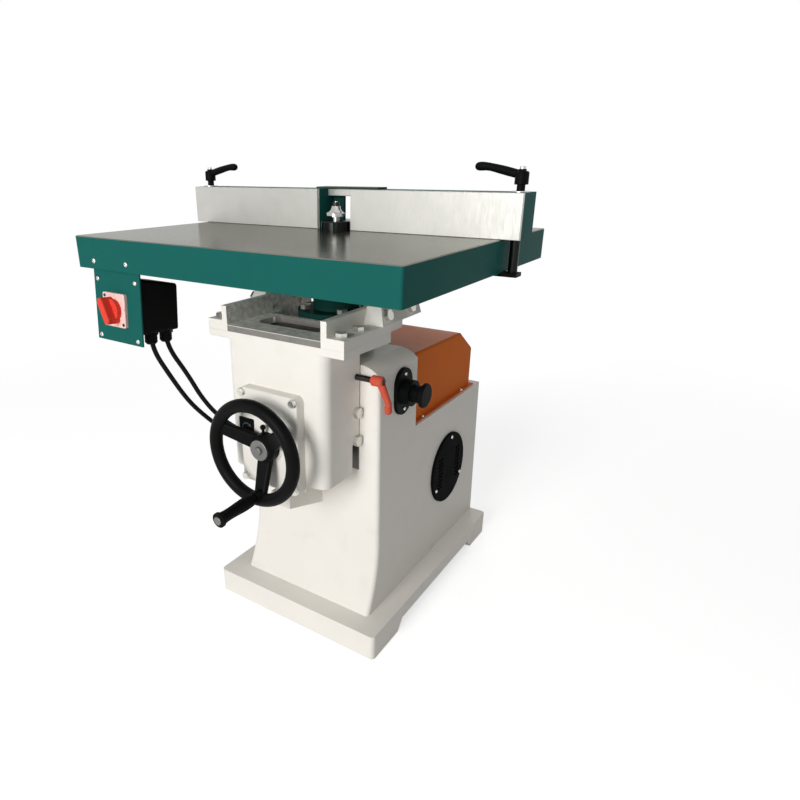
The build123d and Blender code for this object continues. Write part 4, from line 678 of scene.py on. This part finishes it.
def switch_marks():
    def near(place):
        return lambda x, y, out: on_switch(place[0] + x, place[1] + y, out)

    shape = bmesh.new()
    flat_ring(shape, near(ZERO_PLACE), ZERO_OUTER, ZERO_INNER, MARK_DEPTH)
    wide, high = ONE_HALF
    corners = [(-wide, -high), (wide, -high), (wide, high), (-wide, high)]
    flat_bar(shape, corners, near(ONE_PLACE), MARK_DEPTH)
    new_piece("switch_marks", shape, plastic("mark_ink", INK, 0.6), "knee")


switch_marks()

# Screws of the belt cover, the vent cover and the lock's flange
COVER_SCREW_X = 153.0 * MM
COVER_SCREW_Y = (105.0 * MM, 318.0 * MM)
COVER_FLANGE = 2.5 * MM
COLUMN_LEAN = 0.0167
VENT_FACE = 3.0 * MM
VENT_SCREW_RING = 79.0 * MM
VENT_SCREW_ANGLES = (84.0, 209.0, 329.0)
LOCK_FLANGE = 8.0 * MM
LOCK_SCREW_OUT = 37.5 * MM


def cover_screws():
    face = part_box("belt_cover")[0].z + COVER_FLANGE
    sides = (AXIS_X - COVER_SCREW_X, AXIS_X + COVER_SCREW_X)
    spots = [(Vector((x, y, face)), (0, 0, 1)) for x in sides for y in COVER_SCREW_Y]
    screws("cover_screws", "base", spots, radius=4.0, height=2.6)


def vent_screws():
    """Screws on a ring of the vent cover, which leans with the column's wall."""
    low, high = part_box("vent_cover")
    out = Vector((1, 0, COLUMN_LEAN)).normalized()
    up = Vector((-COLUMN_LEAN, 0, 1)).normalized()
    middle = (low + high) / 2 + out * VENT_FACE
    spots = []
    for angle in VENT_SCREW_ANGLES:
        flat = Vector((0, cos(radians(angle)), 0)) + up * sin(radians(angle))
        spots.append((middle + flat * VENT_SCREW_RING, out))
    screws("vent_screws", "base", spots, radius=4.2, height=2.6)


def lock_screws():
    low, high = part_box("lock_flange")
    middle = Vector((low.x + LOCK_FLANGE, AXIS_Y, (low.z + high.z) / 2))
    spots = [(middle + Vector((0, 0, way * LOCK_SCREW_OUT)), (1, 0, 0)) for way in (-1, 1)]
    screws("lock_screws", "base", spots, radius=3.9, height=2.8)


cover_screws()
vent_screws()
lock_screws()

# Fence clamps, sizes in millimetres from the fence's top: a bright washer, a lever with a turned
# hub and an arm that flows into its grip, as (distance, height, radius), and a rod with a sleeve
CLAMP_X = 364.0 * MM
CLAMP_Y = 18.0 * MM
WASHER_INNER = 7.3
WASHER_OUTER = 15.5
WASHER_HEIGHT = 2.0
WASHER_EDGE = 0.4
LEVER_HUB = [
    (0, 0.3), (7.0, 0.3), (7.0, 11.4), (7.6, 12.0), (11.0, 12.0), (11.6, 12.6), (11.6, 30.5), (10.6, 32.4),
    (8.6, 33.2), (6.6, 33.4), (6.6, 36.0), (6.1, 36.5), (0, 36.5),
]
LEVER_HEIGHT = LEVER_HUB[-1][1]
LEVER_ARM = [
    (0, 27.0, 6.5), (14, 30.2, 7.2), (34, 35.0, 7.2), (52, 39.0, 6.6), (62, 40.6, 6.7), (69, 41.0, 7.2),
    (76, 41.0, 7.2), (80.5, 41.1, 6.0), (83, 41.2, 3.9),
]
LEVER_TIP = (84.2, 0, 41.2)
LEVER_FLAT = 0.92
LEVER_CORNER = 40
ROD_SLEEVE = 8.4
ROD_PIN = 5.0
ROD_EDGE = 0.8
CLAW_GAP = 0.2
FENCE_GAP = 0.4
PIN_GAP = 0.1


def clamp_foot(way):
    """Point of the fence's top under a clamp lever, left for -1 and right for 1."""
    return Vector((way * CLAMP_X, CLAMP_Y, fence_top))


def lever_washers():
    rim = WASHER_HEIGHT - WASHER_EDGE
    profile = [
        (WASHER_INNER, 0), (WASHER_OUTER, 0), (WASHER_OUTER, rim),
        (WASHER_OUTER - WASHER_EDGE, WASHER_HEIGHT), (WASHER_INNER + WASHER_EDGE, WASHER_HEIGHT),
        (WASHER_INNER, rim), (WASHER_INNER, 0),
    ]
    shape = bmesh.new()
    for way in (-1, 1):
        turned(shape, profile, seat(clamp_foot(way), (0, 0, 1)), sides=40)
    bmesh.ops.remove_doubles(shape, verts=shape.verts, dist=WELD)
    new_piece("lever_washers", shape, zinc_look, "fence")


def flowing(rows, steps=6):
    """The rows of numbers, with smooth rows between them."""
    made = []
    last = len(rows) - 1
    for index in range(last):
        near = [min(max(index + shift, 0), last) for shift in (-1, 0, 1, 2)]
        before, start, end, after = (Vector(rows[place]) for place in near)
        bend = 2 * before - 5 * start + 4 * end - after
        twist = 3 * start - before - 3 * end + after
        for step in range(steps):
            t = step / steps
            made.append(0.5 * (2 * start + (end - before) * t + bend * t**2 + twist * t**3))
    return made + [Vector(rows[last])]


def lever_arm(foot, sides=28):
    """Arm of a clamp lever, from inside the hub to its round tip."""
    shape = bmesh.new()

    def point(spot):
        return shape.verts.new(foot @ (Vector(spot) * MM))

    rows = flowing(LEVER_ARM)
    rings = [[point((rows[0].x, 0, rows[0].y))]]
    for index, (out, height, radius) in enumerate(rows):
        along = rows[min(index + 1, len(rows) - 1)] - rows[max(index - 1, 0)]
        upward = Vector((-along.y, 0, along.x)).normalized()
        ring = []
        for angle in around(sides):
            spot = Vector((out, 0, height)) + radius * cos(angle) * upward
            spot.y = LEVER_FLAT * radius * sin(angle)
            ring.append(point(spot))
        rings.append(ring)
    rings.append([point(LEVER_TIP)])
    skin(shape, rings)
    return shape


def union(name, first, second):
    """Bmesh of two closed bmeshes joined into one skin."""
    meshes = [finish_mesh(name, shape) for shape in (first, second)]
    holders = [bpy.data.objects.new(name, mesh) for mesh in meshes]
    for holder in holders:
        scene.collection.objects.link(holder)
    join = holders[0].modifiers.new("join", "BOOLEAN")
    join.operation = "UNION"
    join.object = holders[1]
    bpy.context.view_layer.update()
    view = bpy.context.evaluated_depsgraph_get()
    solid = bpy.data.meshes.new_from_object(holders[0].evaluated_get(view))
    shape = bmesh.new()
    shape.from_mesh(solid)
    for holder in holders:
        bpy.data.objects.remove(holder)
    for mesh in (*meshes, solid):
        bpy.data.meshes.remove(mesh)
    return shape


def clamp_lever(side, way, look):
    """Lever of one clamp, its arm towards the fence's middle."""
    foot = Matrix.Translation(clamp_foot(way)) @ Matrix.Rotation(0.0 if way < 0 else pi, 4, "Z")
    hub = bmesh.new()
    turned(hub, LEVER_HUB, foot, sides=40)
    name = "lever_form_" + side
    shape = union("lever", hub, lever_arm(foot))
    piece = new_piece(name, shape, look, "clamp_" + side, LEVER_CORNER)
    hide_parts("clamp_lever_" + side)


def clamp_rod(side, way, look):
    """Rod of one clamp: its sleeve shows above the claw, its pin on top of the lever."""
    spot = clamp_foot(way)
    low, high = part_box("clamp_rod_" + side)
    bore = (high.x - low.x) / 2 / MM
    heights = (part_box("clamp_claws")[1].z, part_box("fence_" + side)[0].z, fence_top, high.z)
    claw, fence_low, lever_foot, top = ((height - low.z) / MM for height in heights)
    sleeve_low, sleeve_high = claw + CLAW_GAP, fence_low - FENCE_GAP
    pin = lever_foot + LEVER_HEIGHT + PIN_GAP
    place = Matrix.Translation((spot.x, spot.y, low.z))
    shape = bmesh.new()
    turned(shape, [
        (0, 0), (bore - ROD_EDGE, 0), (bore, ROD_EDGE), (bore, sleeve_low), (ROD_SLEEVE, sleeve_low),
        (ROD_SLEEVE, sleeve_high), (bore, sleeve_high), (bore, lever_foot), (0, lever_foot),
    ], place, sides=40)
    turned(shape, [
        (0, pin), (ROD_PIN, pin), (ROD_PIN, top - ROD_EDGE), (ROD_PIN - ROD_EDGE, top), (0, top),
    ], place, sides=32)
    piece = new_piece("rod_form_" + side, shape, look, "clamp_" + side)
    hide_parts("clamp_rod_" + side)


def clamps():
    lever_look = plastic("lever_black", BLACK, 0.5)
    lever_look.wear("clamp_lever_left", "clamp_lever_right")
    rod_look, tone = metal("rod_dark_and_bright", ROD_STEEL, 0.36)
    pin = rod_look.maths("GREATER_THAN", rod_look.axis("Z"), fence_top + LEVER_HEIGHT * MM)
    rod_look.set({"Base Color": rod_look.mix(pin, tone, BRIGHT)})
    rod_look.wear("clamp_rod_left", "clamp_rod_right")
    for side, way in (("left", -1), ("right", 1)):
        clamp_lever(side, way, lever_look)
        clamp_rod(side, way, rod_look)


lever_washers()
clamps()

# Bridge over the fence's mouth: a thin plate and the bright lintel under it
BRIDGE_INSET = (4.4 * MM, 29.0 * MM)
BRIDGE_THICK = 3.5 * MM
BRIDGE_EDGE = 0.6 * MM
LINTEL_RUN = (-36.7 * MM, 42.7 * MM)
LINTEL_DEPTH = (22.0 * MM, 34.0 * MM)
LINTEL_GAP = 0.05 * MM


def slab(shape, low, high, edge):
    """Box between two corners, with rounded edges."""
    low, high = Vector(low), Vector(high)
    place = Matrix.Translation((low + high) / 2) @ Matrix.Diagonal((*(high - low), 1))
    made = bmesh.ops.create_cube(shape, size=1.0, matrix=place)
    edges = {e for v in made["verts"] for e in v.link_edges}
    bmesh.ops.bevel(shape, geom=list(edges), offset=edge, segments=2, affect="EDGES")


def bridge():
    look, tone = paint("bridge_green_and_aluminium", GREY_TEAL, rub=0.1, **SATIN)
    lintel = look.maths("LESS_THAN", look.axis("Z"), fence_top)
    look.set({"Base Color": look.mix(lintel, tone, ALUMINIUM), "Metallic": lintel})
    look.wear("fence_bridge")
    low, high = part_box("fence_bridge")
    shape = bmesh.new()
    start = (low.x + BRIDGE_INSET[0], low.y, fence_top)
    slab(shape, start, (high.x - BRIDGE_INSET[1], high.y, fence_top + BRIDGE_THICK), BRIDGE_EDGE)
    start = (LINTEL_RUN[0], LINTEL_DEPTH[0], low.z)
    slab(shape, start, (LINTEL_RUN[1], LINTEL_DEPTH[1], fence_top - LINTEL_GAP), BRIDGE_EDGE)
    piece = new_piece("bridge_form", shape, look, "fence")
    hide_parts("fence_bridge")


bridge()

# Turning-direction plate on the bearing plate, with a plain bent arrow; sizes in millimetres
SIGN_PLACE = Vector((-45.0, -250.0, 492.0)) * MM
SIGN_HALF = 19.0
SIGN_CORNER = 3.0
SIGN_CORNER_STEPS = 6
SIGN_DEPTH = 1.2
SIGN_EDGE = 0.4
ARROW_RING = (12.0, 9.5)
ARROW_DROP = 3.0
ARROW_ANGLES = [radians(200 - 15 * step) for step in range(11)]
ARROW_TIP = 5.5
ARROW_WING = 3.6
ARROW_DEPTH = 0.15


def on_sign(x, y, out):
    return SIGN_PLACE + Vector((x, -out, y)) * MM


def on_arrow(x, y, out):
    return on_sign(x, y - ARROW_DROP, SIGN_DEPTH + out)


def sign_outline():
    """Square with round corners."""
    points = []
    middle = SIGN_HALF - SIGN_CORNER
    for quarter in range(4):
        turn = pi / 2 * quarter
        for step in range(SIGN_CORNER_STEPS + 1):
            angle = pi / 2 * step / SIGN_CORNER_STEPS
            x, y = middle + SIGN_CORNER * cos(angle), middle + SIGN_CORNER * sin(angle)
            points.append((x * cos(turn) - y * sin(turn), x * sin(turn) + y * cos(turn)))
    return points


def sign_plate():
    shape = bmesh.new()
    flat_bar(shape, sign_outline(), on_sign, SIGN_DEPTH)
    half_way = SIGN_PLACE.y - SIGN_DEPTH / 2 * MM
    front = [edge for edge in shape.edges if all(vert.co.y < half_way for vert in edge.verts)]
    bmesh.ops.bevel(shape, geom=front, offset=SIGN_EDGE * MM, segments=2, affect="EDGES")
    look = plastic("sign_black", SIGN_BLACK, 0.35, 600.0, 0.01 * MM)
    new_piece("sign_plate", shape, look, "knee")


def sign_arrow():
    outer, inner = ARROW_RING
    band = [(outer * cos(a), outer * sin(a)) for a in ARROW_ANGLES]
    band += [(inner * cos(a), inner * sin(a)) for a in reversed(ARROW_ANGLES)]
    shape = bmesh.new()
    flat_bar(shape, band, on_arrow, ARROW_DEPTH)
    middle = (outer + inner) / 2
    end = ARROW_ANGLES[-1]
    tip = (middle * cos(end) + ARROW_TIP * sin(end), middle * sin(end) - ARROW_TIP * cos(end))
    wings = [(reach * cos(end), reach * sin(end)) for reach in (middle + ARROW_WING, middle - ARROW_WING)]
    flat_bar(shape, [wings[0], tip, wings[1]], on_arrow, ARROW_DEPTH)
    new_piece("sign_arrow", shape, plastic("sign_grey", SIGN_GREY, 0.5), "knee")


sign_plate()
sign_arrow()

# Small locking handle that stands on the handwheel's hub, a turned stem with a ball
WHEEL_Z = 465.0 * MM
HANDLE_Y = -263.0 * MM
HANDLE_ANGLE = radians(92.0)
HANDLE_STEM = [(0, 28), (4.2, 28), (4.2, 30.5), (3.0, 31.5), (2.6, 37)]
BALL_RADIUS = 5.6
BALL_HEIGHT = 42.0
BALL_STEPS = 12


def hub_handle():
    foot = seat(Vector((AXIS_X, HANDLE_Y, WHEEL_Z)), (cos(HANDLE_ANGLE), 0, sin(HANDLE_ANGLE)))
    angles = [pi * step / BALL_STEPS for step in range(2, BALL_STEPS)]
    ball = [(BALL_RADIUS * sin(angle), BALL_HEIGHT - BALL_RADIUS * cos(angle)) for angle in angles]
    shape = bmesh.new()
    turned(shape, HANDLE_STEM + ball + [(0, BALL_HEIGHT + BALL_RADIUS)], foot)
    new_piece("hub_handle", shape, plastic("handle_black", BLACK, 0.35), "wheel")


hub_handle()

# Bearing plate's bolts, each with its washer
PLATE_BOLT_X = 62.5 * MM
PLATE_BOLT_Z = 91.0 * MM
PLATE_BOSS = 2.0 * MM
BOLT_PROFILE = [(0, -0.2), (8.6, -0.2), (8.6, 1.3), (7.7, 1.3), (7.7, 5.8), (6.9, 6.7), (0, 6.7)]
BOLT_HEXAGON = (3, 4)


def plate_bolt_heads():
    low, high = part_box("plate_bolts")
    middle = (low + high) / 2
    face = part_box("bearing_plate")[0].y + PLATE_BOSS
    shape = bmesh.new()
    for x in (-PLATE_BOLT_X, PLATE_BOLT_X):
        for z in (-PLATE_BOLT_Z, PLATE_BOLT_Z):
            foot = seat(Vector((middle.x + x, face, middle.z + z)), (0, -1, 0))
            turned(shape, BOLT_PROFILE, foot, hexagonal=BOLT_HEXAGON)
    piece = new_piece("plate_bolt_heads", shape, zinc_look, "knee")
    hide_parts("plate_bolts")


plate_bolt_heads()

# Threads of the lift screw and of the knee clamp's stud, sizes in millimetres
THREAD_CORNER = 60
LIFT_SPIGOT = 36.0
LIFT_SPIGOT_RADIUS = 7.0
LIFT_PITCH = 5.0
LIFT_DEPTH = 1.1
LIFT_CHAMFER = 2.0
LIFT_PLAY = 0.05
STEP_HEIGHT = 0.01
STUD_RADIUS = 5.95
STUD_PITCH = 1.75
STUD_DEPTH = 1.0
STUD_POINT = 1.0
STUD_CHAMFER = 0.6


def threaded(shape, place, rows, crest, depth, pitch, run, steps=8, sides=28):
    """Turned form whose rows (radius, height) are cut by a thread over the run of heights."""
    count = int((run[1] - run[0]) / pitch * steps)
    thread = [(None, run[0] + step * pitch / steps) for step in range(1, count)]
    rows = sorted(rows + thread, key=lambda row: row[1])
    rings = [[shape.verts.new(place @ Vector((0, 0, rows[0][1] * MM)))]]
    for radius, height in rows:
        ring = []
        for step, angle in enumerate(around(sides)):
            reach = radius
            if radius is None:
                phase = (height / pitch + step / sides) % 1.0
                slope = min(1.0, max(0.0, 4.0 * abs(phase - 0.5) - 0.5))
                reach = crest - depth * slope
            spot = Vector((reach * cos(angle), reach * sin(angle), height)) * MM
            ring.append(shape.verts.new(place @ spot))
        rings.append(ring)
    rings.append([shape.verts.new(place @ Vector((0, 0, rows[-1][1] * MM)))])
    skin(shape, rings)


def lift_thread():
    low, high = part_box("lift_screw")
    middle = (low + high) / 2
    crest = (high.x - low.x) / 2 / MM - LIFT_PLAY
    length = (high.z - low.z) / MM
    rows = [
        (LIFT_SPIGOT_RADIUS, 0.0), (LIFT_SPIGOT_RADIUS, LIFT_SPIGOT),
        (crest - LIFT_DEPTH, LIFT_SPIGOT + STEP_HEIGHT), (crest - LIFT_CHAMFER, length),
    ]
    shape = bmesh.new()
    foot = Matrix.Translation((middle.x, middle.y, low.z))
    run = (LIFT_SPIGOT, length - LIFT_CHAMFER)
    threaded(shape, foot, rows, crest, LIFT_DEPTH, LIFT_PITCH, run)
    look = metal("screw_steel", SCREW_STEEL, 0.3, lines=500.0)[0]
    piece = new_piece("lift_screw_thread", shape, look, "base", THREAD_CORNER)
    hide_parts("lift_screw")


def stud_thread():
    low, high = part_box("knee_lever_stud")
    middle = (low + high) / 2
    length = (high.x - low.x) / MM
    bare = (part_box("knee_lever")[0].x - low.x) / MM
    rows = [
        (STUD_RADIUS - STUD_POINT, 0.0), (STUD_RADIUS, STUD_POINT), (STUD_RADIUS, bare),
        (STUD_RADIUS, length - STUD_CHAMFER), (STUD_RADIUS - STUD_CHAMFER, length),
    ]
    shape = bmesh.new()
    foot = seat(Vector((low.x, middle.y, middle.z)), (1, 0, 0))
    run = (STUD_POINT, bare)
    threaded(shape, foot, rows, STUD_RADIUS, STUD_DEPTH, STUD_PITCH, run, steps=6, sides=20)
    look = metal("stud_steel", DARK_STEEL, 0.4, lines=500.0)[0]
    piece = new_piece("knee_stud_thread", shape, look, "knee_clamp", THREAD_CORNER)
    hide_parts("knee_lever_stud")


lift_thread()
stud_thread()

# Studio: a pale floor that fades to white, an even world and two soft lamps
FLOOR_RADIUS = 9.0
FLOOR_SIDES = 96
FLOOR_COLOUR = (0.84, 0.84, 0.84, 1)
FLOOR_LIFT = 0.62
SHADOW_NEAR = 1.1
SHADOW_FAR = 2.6
WORLD_LIGHT = 0.25
KEY_PLACE = (0.1, -3.6, 1.5)
KEY_WIDTH = 1.6
KEY_POWER = 95.0
FILL_PLACE = (-1.1, 2.9, 0.56)
FILL_WIDTH = 0.9
FILL_POWER = 15.0
MACHINE_MIDDLE = (0, 0, 0.5)


def floor():
    shape = bmesh.new()
    bmesh.ops.create_circle(shape, cap_ends=True, segments=FLOOR_SIDES, radius=FLOOR_RADIUS)
    mesh = bpy.data.meshes.new("floor")
    shape.to_mesh(mesh)
    shape.free()
    piece = bpy.data.objects.new("floor", mesh)
    scene.collection.objects.link(piece)
    look = Look("floor")
    seen = look.background_rays()
    matt = look.node("BsdfDiffuse", {"Color": FLOOR_COLOUR}).outputs[0]
    strength = look.maths("MULTIPLY", seen, FLOOR_LIFT)
    lift = look.node("Emission", {"Color": WHITE, "Strength": strength}).outputs[0]
    near = look.node("AddShader", {0: matt, 1: lift}).outputs[0]
    white = look.node("Emission", {"Color": WHITE, "Strength": 1.0}).outputs[0]
    away = look.node("VectorMath", {0: look.place}, operation="LENGTH").outputs["Value"]
    fade = look.maths("MULTIPLY", seen, look.spread(away, SHADOW_NEAR, SHADOW_FAR))
    surface = look.node("MixShader", {0: fade, 1: near, 2: white}).outputs[0]
    look.feed(look.tree.nodes["Material Output"].inputs["Surface"], surface)
    look.tree.nodes.remove(look.shader)
    piece.data.materials.append(look.material)


def studio_world():
    world = bpy.data.worlds.new("studio")
    scene.world = world
    world.use_nodes = True
    sky = Nodes(world.node_tree)
    background = sky.tree.nodes["Background"].inputs
    sky.feed(background["Strength"], sky.spread(sky.background_rays(), 0.0, 1.0, WORLD_LIGHT, 1.0))
    sky.feed(background["Color"], WHITE)


def lamp(name, place, width, power):
    """Soft round lamp that looks at the machine."""
    data = bpy.data.lights.new(name, "AREA")
    data.shape = "DISK"
    data.size = width
    data.energy = power
    piece = bpy.data.objects.new(name, data)
    piece.location = place
    piece.rotation_euler = (Vector(MACHINE_MIDDLE) - Vector(place)).to_track_quat("-Z", "Y").to_euler()
    scene.collection.objects.link(piece)


floor()
studio_world()
lamp("key", KEY_PLACE, KEY_WIDTH, KEY_POWER)
lamp("rear_fill", FILL_PLACE, FILL_WIDTH, FILL_POWER)
